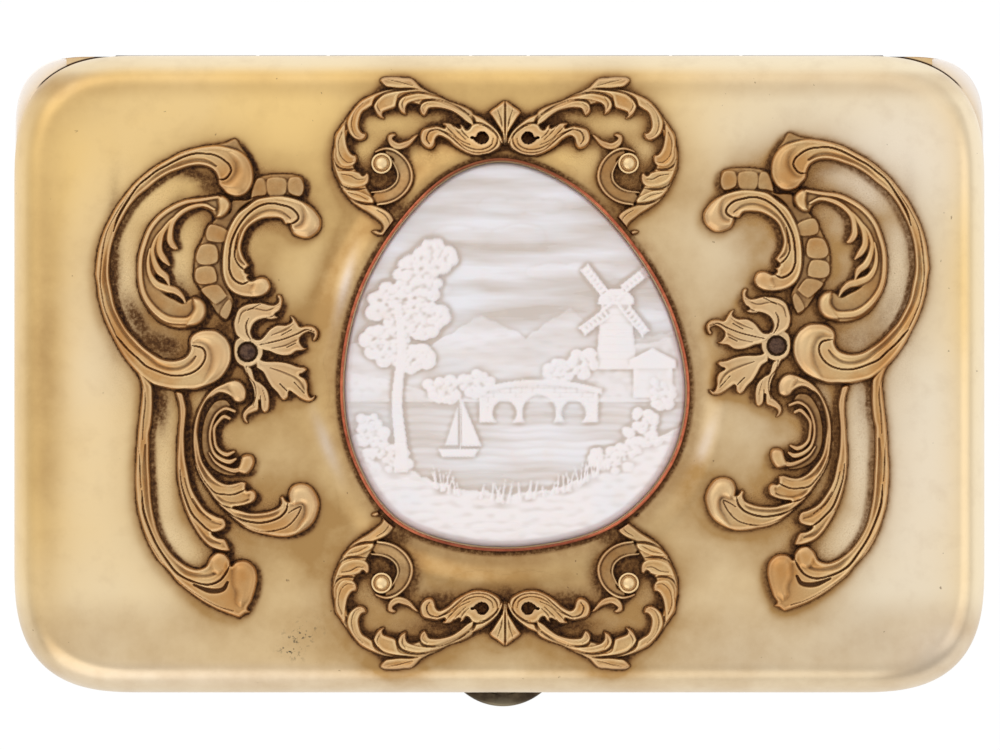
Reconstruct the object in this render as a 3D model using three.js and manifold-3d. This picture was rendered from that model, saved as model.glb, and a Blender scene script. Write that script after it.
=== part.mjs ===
// A gilt cigarette case: two shallow pressed shells on a flush seven-knuckle hinge, opened by a
// thumb button under the front edge. The lid carries an egg-shaped mother-of-pearl plaque in a
// bezel, and four cast scroll mounts round it.
// Millimetres, +Z up. The origin is the middle of the flat underside, +X runs along the case and
// +Y points at the hinge. The lid hangs in its own group on the hinge line and is drawn shut.
import * as THREE from 'three';
import { mergeVertices } from 'three/addons/utils/BufferGeometryUtils.js';
import Module from 'manifold-3d';

const wasm = await Module();
wasm.setup();

// Case
const CASE_LENGTH = 110;
const CASE_DEPTH = 72.2;
const BASE_HEIGHT = 8.8; // underside to the parting line
const LID_HEIGHT = 8.4; // parting line to the edge of the lid's flat field
const WALL = 0.9;
const PARTING_GAP = 0.3;
const CORNER_RADIUS = 14.7;
const BASE_BACK_RADIUS = 8.9; // the base is squarer behind, and its ledge shows past the lid
const CORNER_POWER = 2.85; // 2 would be a true arc; the corners are fuller
const ROLL_WIDTH = 3.4; // the rolled edge, seen from above
const ROLL_HEIGHT = 5;
const CROWN = 0.4;
const CORNER_STEPS = 6;
const ROLL_STEPS = 4;

// Cameo
const PLAQUE_THICKNESS = 1.65;
const PLAQUE_BEVEL = 0.35;
const SEAT_DEPTH = 1; // how deep the plaque is let into its boss
const BOSS_RISE = 0.85; // the boss over the lid's crown
const BOSS_LIP = 1.25; // flat rim of the boss round the plaque, which carries the bezel
const BOSS_FOOT = 5; // where the boss's slope meets the field
const BEZEL_WALL = 0.62;
const BEZEL_HEIGHT = 0.9;
const BEZEL_LIP = 0.22; // how far the bezel is rubbed in over the plaque
const CAMEO_CLEARANCE = 0.2;

// Hinge
const HINGE_HALF = 43.75;
const BASE_KNUCKLE = 16.3;
const LID_KNUCKLE = 8; // the lid's outer two
const MIDDLE_KNUCKLE = 6.56;
const KNUCKLE_RADIUS = 1.2;
const KNUCKLE_PROUD = 0.12;
const KNUCKLE_GAP = 0.15;
const PIN_RADIUS = 0.5;
const PIN_CLEARANCE = 0.06;
const TROUGH_CLEARANCE = 0.1;
const HINGE_RELIEF = 1.6; // the walls stand back this far above and below the hinge line
const BEARER_WIDTH = 2.2;
const BEARER_HEIGHT = 3.6;
const PLUG_REACH = 5.4; // the base's solid ends of the trough, past the last knuckles

// Inner rim round the mouth
const RIM_THICKNESS = 0.5;
const RIM_UP = 1.6;
const RIM_DOWN = 4;
const RIM_CLEARANCE = 0.14;
const RIM_END = 20;

// Latch
const BUTTON_X = 0.4;
const BUTTON_THICKNESS = 2.4;
const BUTTON_TOP = 1.2; // under the parting line
const BUTTON_HALF = 4.5;
const BUTTON_PROUD = 1.65;
const BUTTON_CHAMFER = 0.3;
const SHOULDER_HALF = 6;
const SHOULDER_DEPTH = 1.9;
const SLIDE_CLEARANCE = 0.2;
const GUIDE_WALL = 0.9;
const HOOK_WIDTH = 3.2;
const HOOK_THICKNESS = 1;
const HOOK_NOSE = 0.5;
const HOOK_RISE = 0.95; // over the parting line
const HOOK_CLEARANCE = 0.3;
const STRIKE_HALF = 3;
const STRIKE_PLATE = 0.5;
const STRIKE_RISE = 2.7;
const STRIKE_LEDGE = 0.7;
const SPRING_THICKNESS = 0.6;
const SPRING_HEIGHT = 2.2;
const SPRING_LENGTH = 28;
const BLOCK_LENGTH = 6;
const BLOCK_HEIGHT = 2.8;
const RIVET_SHANK = 0.4;
const RIVET_HEAD = 0.85;

// Elastic bands
const BAND_X = 22;
const BAND_WIDTH = 10;
const BAND_THICKNESS = 0.6;
const BAND_OFFSET = 2.8; // keeper bars from the parting line
const BAR_RADIUS = 0.45;
const BAND_LOOP = 0.25; // slack round the bar
const KEEPER_LUG = 0.8;
const KEEPER_REACH = 2.6;
const KEEPER_HEIGHT = 1.8;

// Scroll mounts
const MOUNT_SEAT = 0.3; // between a casting and the lid
const GROUND = 0.45; // the thin ground between a casting's scrolls
const STRAND_STEP = 3;
const BOSS_SIDES = 8;
const STRAND_BASE = 0.5;
const STRAND_SLOPE = 0.8;
const STRAND_TOP = 1.75;
const STUD_PAD = 0.8; // the raised seat round a stud
const STUD_HEAD = 0.78;
const STUD_SHANK = 0.4;
const TAIL_HEAD = 0.8;
const TAIL_THICKNESS = 0.3;
const TAIL_CLEARANCE = 0.35;

const PARTING = BASE_HEIGHT;
const FIELD_Z = PARTING + LID_HEIGHT;
const BOSS_Z = FIELD_Z + CROWN + BOSS_RISE;
const SEAT_Z = BOSS_Z - SEAT_DEPTH;
const FRONT = -CASE_DEPTH / 2;
const BACK = CASE_DEPTH / 2;
const HINGE_Y = BACK - KNUCKLE_RADIUS + KNUCKLE_PROUD;
const INNER_FRONT = FRONT + WALL;
// The castings and the cameo are drawn for a case 72.2 deep, and follow its depth
const DRAWN = CASE_DEPTH / 72.2;

const gilt = () => new THREE.MeshStandardMaterial({ color: 0xd9bd84, roughness: 0.34, metalness: 1 });
const castGilt = () => new THREE.MeshStandardMaterial({ color: 0xb98f57, roughness: 0.48, metalness: 1 });
const rose = () => new THREE.MeshStandardMaterial({ color: 0xc8694b, roughness: 0.35, metalness: 1 });
const pearl = () => new THREE.MeshStandardMaterial({ color: 0xe4dede, roughness: 0.3, metalness: 0 });
const oxidised = () => new THREE.MeshStandardMaterial({ color: 0x4b423b, roughness: 0.5, metalness: 1 });
const springSteel = () => new THREE.MeshStandardMaterial({ color: 0x8d8f92, roughness: 0.35, metalness: 1 });
const darkBrass = () => new THREE.MeshStandardMaterial({ color: 0x3a2820, roughness: 0.6, metalness: 1 });
const elastic = () => new THREE.MeshStandardMaterial({ color: 0xa98d55, roughness: 0.95, metalness: 0 });

// Solids

// Merges a geometry's vertices, drops flat triangles and turns its faces outwards
function weld(geometry) {
  geometry.deleteAttribute('normal');
  geometry.deleteAttribute('uv');
  const merged = mergeVertices(geometry, 1e-4);
  const p = merged.attributes.position;
  const kept = [];
  let volume = 0;
  for (let i = 0; i < merged.index.count; i += 3) {
    const [a, b, c] = [0, 1, 2].map((k) => merged.index.getX(i + k));
    if (a === b || b === c || a === c) continue;
    kept.push(a, b, c);
    volume += new THREE.Vector3().fromBufferAttribute(p, a).dot(
      new THREE.Vector3().fromBufferAttribute(p, b).cross(new THREE.Vector3().fromBufferAttribute(p, c)),
    );
  }
  if (volume < 0) for (let i = 0; i < kept.length; i += 3) [kept[i], kept[i + 1]] = [kept[i + 1], kept[i]];
  merged.setIndex(kept);
  return merged;
}

function solid(geometry) {
  const g = weld(geometry);
  return new wasm.Manifold(new wasm.Mesh({
    numProp: 3,
    vertProperties: new Float32Array(g.attributes.position.array),
    triVerts: new Uint32Array(g.index.array),
  }));
}

function geometryOf(manifold) {
  const { vertProperties, triVerts } = manifold.getMesh();
  const g = new THREE.BufferGeometry();
  g.setAttribute('position', new THREE.BufferAttribute(vertProperties, 3));
  g.setIndex(new THREE.BufferAttribute(triVerts, 1));
  g.computeVertexNormals();
  return g;
}

const join = (...parts) => parts.reduce((whole, part) => whole.add(part));

function boxBetween(x0, x1, y0, y1, z0, z1) {
  return new THREE.BoxGeometry(x1 - x0, y1 - y0, z1 - z0)
    .translate((x0 + x1) / 2, (y0 + y1) / 2, (z0 + z1) / 2);
}

function barAlongX(radius, x0, x1, y, z, sides) {
  return new THREE.CylinderGeometry(radius, radius, x1 - x0, sides)
    .rotateZ(Math.PI / 2).translate((x0 + x1) / 2, y, z);
}

// Skins one closed body over a row of rings with the same number of points, from end to end
function loft(rings) {
  const n = rings[0].length;
  const positions = [];
  const index = [];
  for (const ring of rings) for (const p of ring) positions.push(p.x, p.y, p.z);
  for (let k = 0; k + 1 < rings.length; k++) {
    for (let i = 0; i < n; i++) {
      const a = k * n + i;
      const b = k * n + ((i + 1) % n);
      index.push(a, b, b + n, a, b + n, a + n);
    }
  }
  for (const end of [0, rings.length - 1]) {
    const middle = new THREE.Vector3();
    for (const p of rings[end]) middle.add(p);
    middle.divideScalar(n);
    const m = positions.length / 3;
    positions.push(middle.x, middle.y, middle.z);
    for (let i = 0; i < n; i++) {
      const a = end * n + i;
      const b = end * n + ((i + 1) % n);
      index.push(...(end === 0 ? [b, a, m] : [a, b, m]));
    }
  }
  const g = new THREE.BufferGeometry();
  g.setAttribute('position', new THREE.Float32BufferAttribute(positions, 3));
  g.setIndex(index);
  return g;
}

// Joins a closed row of rings end to start: a hoop with a profile
function hoop(rings) {
  const n = rings[0].length;
  const positions = [];
  const index = [];
  for (const ring of rings) for (const p of ring) positions.push(p.x, p.y, p.z);
  for (let k = 0; k < rings.length; k++) {
    const next = ((k + 1) % rings.length) * n;
    for (let i = 0; i < n; i++) {
      const j = (i + 1) % n;
      index.push(k * n + i, k * n + j, next + j, k * n + i, next + j, next + i);
    }
  }
  const g = new THREE.BufferGeometry();
  g.setAttribute('position', new THREE.Float32BufferAttribute(positions, 3));
  g.setIndex(index);
  return g;
}

// Outlines

// The case's plan, drawn in from its outer edge by an inset, counter-clockwise from the right
function outline(inset, backRadius, longSteps = 1, shortSteps = 1) {
  const a = CASE_LENGTH / 2 - inset;
  const b = CASE_DEPTH / 2 - inset;
  const corners = [[1, 1, backRadius], [-1, 1, backRadius], [-1, -1, CORNER_RADIUS], [1, -1, CORNER_RADIUS]];
  const points = [];
  corners.forEach(([sx, sy, radius], corner) => {
    const r = radius - inset;
    for (let k = 0; k <= CORNER_STEPS; k++) {
      const t = ((sx * sy > 0 ? k : CORNER_STEPS - k) / CORNER_STEPS) * (Math.PI / 2);
      points.push(new THREE.Vector2(
        sx * (a - r + r * Math.cos(t) ** (2 / CORNER_POWER)),
        sy * (b - r + r * Math.sin(t) ** (2 / CORNER_POWER)),
      ));
    }
    const [nx, ny, nextRadius] = corners[(corner + 1) % 4];
    const from = points[points.length - 1];
    const along = corner % 2 === 0;
    const to = along
      ? new THREE.Vector2(nx * (a - nextRadius + inset), ny * b)
      : new THREE.Vector2(nx * a, ny * (b - nextRadius + inset));
    const steps = along ? longSteps : shortSteps;
    for (let k = 1; k < steps; k++) points.push(from.clone().lerp(to, k / steps));
  });
  return points;
}

function prism(points, z0, z1) {
  return new THREE.ExtrudeGeometry(new THREE.Shape(points), { depth: z1 - z0, bevelEnabled: false })
    .translate(0, 0, z0);
}

const lift = (points, z) => points.map((p) => new THREE.Vector3(p.x, p.y, typeof z === 'number' ? z : z(p)));

// The cameo's egg outline, and its radius in any direction from its middle
const EGG_MIDDLE = new THREE.Vector2(1.4, 0.8).multiplyScalar(DRAWN);
const eggCurve = new THREE.CatmullRomCurve3([
  [0.7, 23.9], [-5.1, 22.4], [-11, 16.9], [-15.7, 8.6], [-17.5, -1], [-16.3, -9], [-11.9, -16],
  [-4.8, -19], [4.2, -19.3], [13.1, -16.6], [19, -10.2], [21, -2.5], [19.4, 6.2], [14.9, 14.3],
  [8.4, 20.9],
].map(([x, y]) => new THREE.Vector3(x * DRAWN, y * DRAWN, 0)), true, 'centripetal');
const eggFine = eggCurve.getPoints(360).slice(0, 360).map((p) => {
  const d = new THREE.Vector2(p.x, p.y).sub(EGG_MIDDLE);
  return [d.angle(), d.length()];
}).sort((p, q) => p[0] - q[0]);

function eggRadius(angle) {
  const turn = 2 * Math.PI;
  const t = ((angle % turn) + turn) % turn;
  let k = eggFine.findIndex(([a]) => a > t);
  if (k < 0) k = 0;
  const [a0, r0] = eggFine[(k + eggFine.length - 1) % eggFine.length];
  const [a1, r1] = eggFine[k];
  const span = (a1 - a0 + turn) % turn;
  return r0 + (r1 - r0) * (((t - a0 + turn) % turn) / span);
}

// A point this far outside the egg, in the direction of another point
function offEgg(p, out) {
  const angle = new THREE.Vector2(p.x, p.y).sub(EGG_MIDDLE).angle();
  const r = eggRadius(angle) + out;
  return new THREE.Vector2(EGG_MIDDLE.x + r * Math.cos(angle), EGG_MIDDLE.y + r * Math.sin(angle));
}

function outsideEgg(x, y) {
  const d = new THREE.Vector2(x, y).sub(EGG_MIDDLE);
  return d.length() - eggRadius(d.angle());
}

// The lid's outer surface

function insetAt(x, y) {
  const a = CASE_LENGTH / 2;
  const b = CASE_DEPTH / 2;
  const u = Math.abs(x) - (a - CORNER_RADIUS);
  const v = Math.abs(y) - (b - CORNER_RADIUS);
  if (u <= 0 || v <= 0) return Math.min(a - Math.abs(x), b - Math.abs(y));
  return CORNER_RADIUS - (u ** CORNER_POWER + v ** CORNER_POWER) ** (1 / CORNER_POWER);
}

function lidTop(x, y) {
  const across = THREE.MathUtils.clamp(1 - insetAt(x, y) / ROLL_WIDTH, 0, 1);
  const roll = ROLL_HEIGHT * (1 - Math.sqrt(1 - across * across));
  const hx = CASE_LENGTH / 2 - ROLL_WIDTH;
  const hy = CASE_DEPTH / 2 - ROLL_WIDTH;
  const crown = CROWN * Math.max(0, 1 - (x / hx) ** 2) * Math.max(0, 1 - (y / hy) ** 2);
  const field = FIELD_Z - roll + crown;
  const boss = 1 - THREE.MathUtils.smoothstep(outsideEgg(x, y), BOSS_LIP, BOSS_FOOT);
  return field + (BOSS_Z - field) * boss;
}

// Shells

const LONG_STEPS = 7;
const SHORT_STEPS = 3;
const rollAngle = (k) => (k / ROLL_STEPS) * (Math.PI / 2);

function baseShell() {
  const rings = [];
  const inner = [];
  for (let k = ROLL_STEPS; k >= 0; k--) {
    const t = rollAngle(k);
    const outer = outline(ROLL_WIDTH * (1 - Math.cos(t)), BASE_BACK_RADIUS);
    rings.push(lift(outer, ROLL_HEIGHT * (1 - Math.sin(t))));
    inner.unshift(lift(
      outline(ROLL_WIDTH - (ROLL_WIDTH - WALL) * Math.cos(t), CORNER_RADIUS),
      ROLL_HEIGHT - (ROLL_HEIGHT - WALL) * Math.sin(t),
    ));
  }
  const mouth = PARTING - PARTING_GAP / 2;
  rings.push(lift(outline(0, BASE_BACK_RADIUS), mouth), lift(outline(WALL, CORNER_RADIUS), mouth), ...inner);
  const plug = HINGE_HALF + PLUG_REACH + 0.3;
  const front = HINGE_Y - BEARER_WIDTH - 0.05;
  const relief = boxBetween(-plug, plug, front, BACK + 1, PARTING - HINGE_RELIEF, PARTING + 1);
  const half = BUTTON_HALF + SLIDE_CLEARANCE;
  const top = PARTING - BUTTON_TOP;
  const slot = boxBetween(
    BUTTON_X - half, BUTTON_X + half, FRONT - 1, INNER_FRONT + 1,
    top - BUTTON_THICKNESS - SLIDE_CLEARANCE, top + SLIDE_CLEARANCE,
  );
  return geometryOf(solid(loft(rings)).subtract(solid(relief)).subtract(solid(slot)));
}

function lidShell(holes) {
  const plan = (inset) => outline(inset, CORNER_RADIUS, LONG_STEPS, SHORT_STEPS);
  const top = (points, drop = 0) => lift(points, (p) => lidTop(p.x, p.y) - drop);
  const mouth = PARTING + PARTING_GAP / 2;
  const shoulder = plan(ROLL_WIDTH);
  const foot = shoulder.map((p) => offEgg(p, BOSS_FOOT));
  const field = shoulder.map((p, i) => p.clone().lerp(foot[i], 0.5));
  const slope = (s) => shoulder.map((p) => offEgg(p, BOSS_FOOT + (BOSS_LIP - BOSS_FOOT) * s));
  const outer = [];
  const inner = [];
  for (let k = 0; k <= ROLL_STEPS; k++) {
    const t = rollAngle(k);
    outer.push(top(plan(ROLL_WIDTH * (1 - Math.cos(t)))));
    inner.push(lift(
      plan(ROLL_WIDTH - (ROLL_WIDTH - WALL) * Math.cos(t)),
      FIELD_Z - ROLL_HEIGHT + (ROLL_HEIGHT - WALL) * Math.sin(t),
    ));
  }
  outer.push(top(field), top(foot), top(slope(0.35)), top(slope(0.7)), lift(slope(1), BOSS_Z));
  inner.push(top(foot, WALL), top(slope(0.5), WALL));
  inner.push(lift(shoulder.map((p) => offEgg(p, CAMEO_CLEARANCE + WALL)), SEAT_Z - WALL));
  const rings = [...outer.reverse(), lift(plan(0), mouth), lift(plan(WALL), mouth), ...inner];
  const plug = HINGE_HALF + PLUG_REACH + 0.3;
  const front = HINGE_Y - BEARER_WIDTH - 0.05;
  const relief = boxBetween(-plug, plug, front, BACK + 1, PARTING - 1, PARTING + HINGE_RELIEF);
  const pocket = prism(eggRing(CAMEO_CLEARANCE, 0), SEAT_Z, BOSS_Z + 1);
  let shell = solid(loft(rings)).subtract(solid(relief)).subtract(solid(pocket));
  for (const [x, y] of holes) {
    shell = shell.subtract(solid(new THREE.CylinderGeometry(STUD_SHANK + 0.12, STUD_SHANK + 0.12, 6, 8)
      .rotateX(Math.PI / 2).translate(x, y, FIELD_Z)));
  }
  return geometryOf(shell);
}

// Hinge

// Seven knuckles between these places along the pin, the first and every other one on the base
const OUTER_END = HINGE_HALF - BASE_KNUCKLE;
const KNUCKLE_ENDS = [
  -HINGE_HALF, -OUTER_END, LID_KNUCKLE - OUTER_END, -MIDDLE_KNUCKLE / 2,
  MIDDLE_KNUCKLE / 2, OUTER_END - LID_KNUCKLE, OUTER_END, HINGE_HALF,
];

function knuckle(k) {
  const x0 = KNUCKLE_ENDS[k] + KNUCKLE_GAP / 2;
  const x1 = KNUCKLE_ENDS[k + 1] - KNUCKLE_GAP / 2;
  const tube = new THREE.Shape().absarc(0, 0, KNUCKLE_RADIUS, 0, 2 * Math.PI);
  tube.holes.push(new THREE.Path().absarc(0, 0, PIN_RADIUS + PIN_CLEARANCE, 0, 2 * Math.PI, true));
  return new THREE.ExtrudeGeometry(tube, { depth: x1 - x0, bevelEnabled: false, curveSegments: 6 })
    .rotateY(Math.PI / 2).translate(x0, HINGE_Y, PARTING);
}

// The strip soldered behind a back wall, troughed for the knuckles: side 1 is the lid's
function bearer(side) {
  const half = side > 0 ? HINGE_HALF : HINGE_HALF + PLUG_REACH;
  const near = PARTING + (side * PARTING_GAP) / 2;
  const far = PARTING + side * BEARER_HEIGHT;
  const [z0, z1] = [Math.min(near, far), Math.max(near, far)];
  const strip = boxBetween(-half, half, HINGE_Y - BEARER_WIDTH, BACK, z0, z1);
  const inside = prism(outline(WALL + 0.12, CORNER_RADIUS), z0 - 1, z1 + 1);
  const r = KNUCKLE_RADIUS + TROUGH_CLEARANCE;
  const reach = HINGE_HALF + TROUGH_CLEARANCE;
  const trough = solid(barAlongX(r, -reach, reach, HINGE_Y, PARTING, 16));
  const body = solid(strip).intersect(solid(inside));
  if (side > 0) return geometryOf(body.subtract(trough));
  // the base's strip fills the notch in the wall, and swells into a barrel past the last knuckles
  const floor = PARTING - HINGE_RELIEF;
  const outside = solid(prism(outline(0.1, BASE_BACK_RADIUS), floor, PARTING + HINGE_RELIEF));
  const notch = solid(boxBetween(-half, half, HINGE_Y - BEARER_WIDTH, BACK, floor, near)).intersect(outside);
  const barrels = [-1, 1].map((end) => {
    const [x0, x1] = [end * (reach + 0.15), end * half].sort((p, q) => p - q);
    return solid(barAlongX(KNUCKLE_RADIUS, x0, x1, HINGE_Y, PARTING, 16)).intersect(outside);
  });
  return geometryOf(join(body.add(notch).subtract(trough), ...barrels));
}

// Rim, latch and bands

const GUIDE_HALF = SHOULDER_HALF + SLIDE_CLEARANCE + GUIDE_WALL;

function rim(side) {
  const outer = WALL + RIM_CLEARANCE;
  const z0 = PARTING - RIM_DOWN;
  const z1 = PARTING + RIM_UP;
  const band = solid(prism(outline(outer, CORNER_RADIUS), z0, z1))
    .subtract(solid(prism(outline(outer + RIM_THICKNESS, CORNER_RADIUS), z0 - 1, z1 + 1)));
  const edge = BUTTON_X + side * (GUIDE_HALF + SLIDE_CLEARANCE);
  const [x0, x1] = side < 0 ? [-CASE_LENGTH, edge] : [edge, CASE_LENGTH];
  return geometryOf(band.intersect(solid(boxBetween(x0, x1, -CASE_DEPTH, RIM_END, z0 - 1, z1 + 1))));
}

const SHOULDER_FRONT = INNER_FRONT + SLIDE_CLEARANCE;
const SHOULDER_BACK = SHOULDER_FRONT + SHOULDER_DEPTH;
const HOOK_FRONT = SHOULDER_BACK + 0.05;
const HOOK_BACK = HOOK_FRONT + HOOK_THICKNESS;
const BUTTON_Z = PARTING - BUTTON_TOP - BUTTON_THICKNESS;

// A crescent outside the wall on a tongue through it, with a shoulder that stops it falling out
function button() {
  const ring = (z, chamfer) => {
    const sagitta = BUTTON_PROUD - chamfer;
    const radius = (BUTTON_HALF ** 2 + sagitta ** 2) / (2 * sagitta);
    const swing = Math.asin(BUTTON_HALF / radius);
    const points = [];
    for (let k = 0; k <= 12; k++) {
      const t = swing * (k / 6 - 1);
      points.push([BUTTON_X + radius * Math.sin(t), FRONT - 0.05 + radius - sagitta - radius * Math.cos(t)]);
    }
    points.push([BUTTON_X + BUTTON_HALF, SHOULDER_FRONT], [BUTTON_X + SHOULDER_HALF, SHOULDER_FRONT]);
    points.push([BUTTON_X + SHOULDER_HALF, SHOULDER_BACK], [BUTTON_X - SHOULDER_HALF, SHOULDER_BACK]);
    points.push([BUTTON_X - SHOULDER_HALF, SHOULDER_FRONT], [BUTTON_X - BUTTON_HALF, SHOULDER_FRONT]);
    return points.map(([x, y]) => new THREE.Vector3(x, y, z));
  };
  const top = BUTTON_Z + BUTTON_THICKNESS;
  const body = solid(prism(ring(0, 0), BUTTON_Z + BUTTON_CHAMFER, top - BUTTON_CHAMFER));
  const whole = (z0, z1, chamfer) => solid(prism(ring(0, chamfer), z0, z1));
  return geometryOf(join(
    body,
    whole(BUTTON_Z, BUTTON_Z + BUTTON_CHAMFER, BUTTON_CHAMFER),
    whole(top - BUTTON_CHAMFER, top, BUTTON_CHAMFER),
  ));
}

// A plate behind the button with a nose at its top, towards the front
function hook() {
  const top = PARTING + HOOK_RISE;
  const nose = PARTING + PARTING_GAP / 2 + 0.05;
  const side = new THREE.Shape([
    [HOOK_BACK, BUTTON_Z], [HOOK_BACK, top], [HOOK_FRONT - HOOK_NOSE * 0.4, top],
    [HOOK_FRONT - HOOK_NOSE, nose + 0.3], [HOOK_FRONT - HOOK_NOSE, nose], [HOOK_FRONT, nose],
    [HOOK_FRONT, BUTTON_Z],
  ].map(([y, z]) => new THREE.Vector2(y, z)));
  return alongX(side, BUTTON_X - HOOK_WIDTH / 2, BUTTON_X + HOOK_WIDTH / 2);
}

// Extrudes a shape drawn in (y, z) along X
function alongX(shape, x0, x1) {
  return new THREE.ExtrudeGeometry(shape, { depth: x1 - x0, bevelEnabled: false, curveSegments: 6 })
    .applyMatrix4(new THREE.Matrix4().set(0, 0, 1, x0, 1, 0, 0, 0, 0, 1, 0, 0, 0, 0, 0, 1));
}

// A plate on the lid's front wall with a ledge at its foot, under the hook's nose
function strike() {
  const y0 = INNER_FRONT + 0.12;
  const ledge = HOOK_FRONT - HOOK_NOSE - HOOK_CLEARANCE;
  const foot = PARTING - BUTTON_TOP + 0.35;
  const side = new THREE.Shape([
    [y0, foot], [ledge, foot], [ledge, foot + STRIKE_LEDGE], [y0 + STRIKE_PLATE, foot + STRIKE_LEDGE],
    [y0 + STRIKE_PLATE, PARTING + STRIKE_RISE], [y0, PARTING + STRIKE_RISE],
  ].map(([y, z]) => new THREE.Vector2(y, z)));
  return alongX(side, BUTTON_X - STRIKE_HALF, BUTTON_X + STRIKE_HALF);
}

// The channel that the button slides in
function guide() {
  const floor = BUTTON_Z - SLIDE_CLEARANCE;
  const cheek = BUTTON_Z + BUTTON_THICKNESS - 0.3;
  const [w, h] = [SHOULDER_HALF + SLIDE_CLEARANCE, GUIDE_HALF];
  const section = new THREE.Shape([
    [-h, floor - GUIDE_WALL], [h, floor - GUIDE_WALL], [h, cheek], [w, cheek], [w, floor], [-w, floor],
    [-w, cheek], [-h, cheek],
  ].map(([x, z]) => new THREE.Vector2(x, z)));
  const y0 = INNER_FRONT + 0.12;
  return new THREE.ExtrudeGeometry(section, { depth: HOOK_BACK - y0, bevelEnabled: false })
    .rotateX(Math.PI / 2).translate(BUTTON_X, HOOK_BACK, 0);
}

const SPRING_Z = BUTTON_Z + BUTTON_THICKNESS / 2;
const SPRING_END = BUTTON_X + HOOK_WIDTH / 2;
const SPRING_START = SPRING_END - SPRING_LENGTH;
const SPRING_FRONT = HOOK_BACK + 0.08;
const RIM_INSIDE = FRONT + WALL + RIM_CLEARANCE + RIM_THICKNESS;
const SPRING_RIVETS = [1.6, BLOCK_LENGTH - 1.6].map((d) => SPRING_START + d);

function rivetHole(x, y0, y1) {
  const r = RIVET_SHANK + 0.1;
  return solid(new THREE.CylinderGeometry(r, r, y1 - y0, 10).translate(x, (y0 + y1) / 2, SPRING_Z));
}

function spring() {
  let leaf = solid(boxBetween(
    SPRING_START, SPRING_END, SPRING_FRONT, SPRING_FRONT + SPRING_THICKNESS,
    SPRING_Z - SPRING_HEIGHT / 2, SPRING_Z + SPRING_HEIGHT / 2,
  ));
  for (const x of SPRING_RIVETS) leaf = leaf.subtract(rivetHole(x, SPRING_FRONT - 1, SPRING_FRONT + 2));
  return geometryOf(leaf);
}

function springBlock() {
  let block = solid(boxBetween(
    SPRING_START, SPRING_START + BLOCK_LENGTH, RIM_INSIDE + 0.1, SPRING_FRONT - 0.05,
    SPRING_Z - BLOCK_HEIGHT / 2, SPRING_Z + BLOCK_HEIGHT / 2,
  ));
  for (const x of SPRING_RIVETS) block = block.subtract(rivetHole(x, SPRING_FRONT - 1.3, SPRING_FRONT + 1));
  return geometryOf(block);
}

function springRivet(x) {
  const back = SPRING_FRONT + SPRING_THICKNESS + 0.05;
  const profile = [
    [0, SPRING_FRONT - 1.2], [RIVET_SHANK, SPRING_FRONT - 1.2], [RIVET_SHANK, back], [RIVET_HEAD, back],
    [RIVET_HEAD * 0.7, back + 0.3], [0, back + 0.4],
  ].map(([r, y]) => new THREE.Vector2(r, y));
  return new THREE.LatheGeometry(profile, 10).translate(x, 0, SPRING_Z);
}

// A bar between two lugs, which a band's loop turns round: front and back, base and lid
function keeperPlace(front, side) {
  const wall = front ? (side < 0 ? RIM_INSIDE : INNER_FRONT) + 0.1 : HINGE_Y - BEARER_WIDTH - 0.1;
  const bar = front ? RIM_INSIDE + 1.65 : HINGE_Y - BEARER_WIDTH - 1.65;
  return { wall, bar, end: bar + (front ? 1 : -1) * (KEEPER_REACH - 1.65), z: PARTING + side * BAND_OFFSET };
}

function keeper(front, side) {
  const { wall, end, bar, z } = keeperPlace(front, side);
  const inner = BAND_X - BAND_WIDTH / 2 - 0.35;
  const outer = BAND_X + BAND_WIDTH / 2 + 0.35;
  const [y0, y1] = [Math.min(wall, end), Math.max(wall, end)];
  const half = KEEPER_HEIGHT / 2;
  const lug = (x) => solid(boxBetween(x, x + KEEPER_LUG, y0, y1, z - half, z + half));
  return geometryOf(join(
    lug(inner - KEEPER_LUG), lug(outer),
    solid(barAlongX(BAR_RADIUS, inner - KEEPER_LUG / 2, outer + KEEPER_LUG / 2, bar, z, 8)),
  ));
}

// A flat band whose ends loop round the bars, on the side of them nearer the parting line
function band(side) {
  const [front, back] = [keeperPlace(true, side), keeperPlace(false, side)];
  const hole = BAR_RADIUS + BAND_LOOP;
  const r = hole + BAND_THICKNESS;
  const loop = (y) => {
    const ring = new THREE.Shape().absarc(y, front.z, r, 0, 2 * Math.PI);
    ring.holes.push(new THREE.Path().absarc(y, front.z, hole, 0, 2 * Math.PI, true));
    return solid(alongX(ring, BAND_X - BAND_WIDTH / 2, BAND_X + BAND_WIDTH / 2));
  };
  const [z0, z1] = [front.z - side * hole * 1.03, front.z - side * r * 0.97].sort((p, q) => p - q);
  const strip = boxBetween(BAND_X - BAND_WIDTH / 2, BAND_X + BAND_WIDTH / 2, front.bar, back.bar, z0, z1);
  return geometryOf(join(solid(strip), loop(front.bar), loop(back.bar)));
}

// Cameo

const EGG_STATIONS = 40;
const eggRing = (out, z) => Array.from({ length: EGG_STATIONS }, (_, k) => {
  const t = (k / EGG_STATIONS) * 2 * Math.PI;
  const r = eggRadius(t) + out;
  return new THREE.Vector3(EGG_MIDDLE.x + r * Math.cos(t), EGG_MIDDLE.y + r * Math.sin(t), z);
});

function plaque() {
  const z0 = SEAT_Z + 0.05;
  const z1 = SEAT_Z + PLAQUE_THICKNESS;
  return loft([eggRing(0, z0), eggRing(0, z1 - PLAQUE_BEVEL), eggRing(-PLAQUE_BEVEL, z1)]);
}

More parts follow.
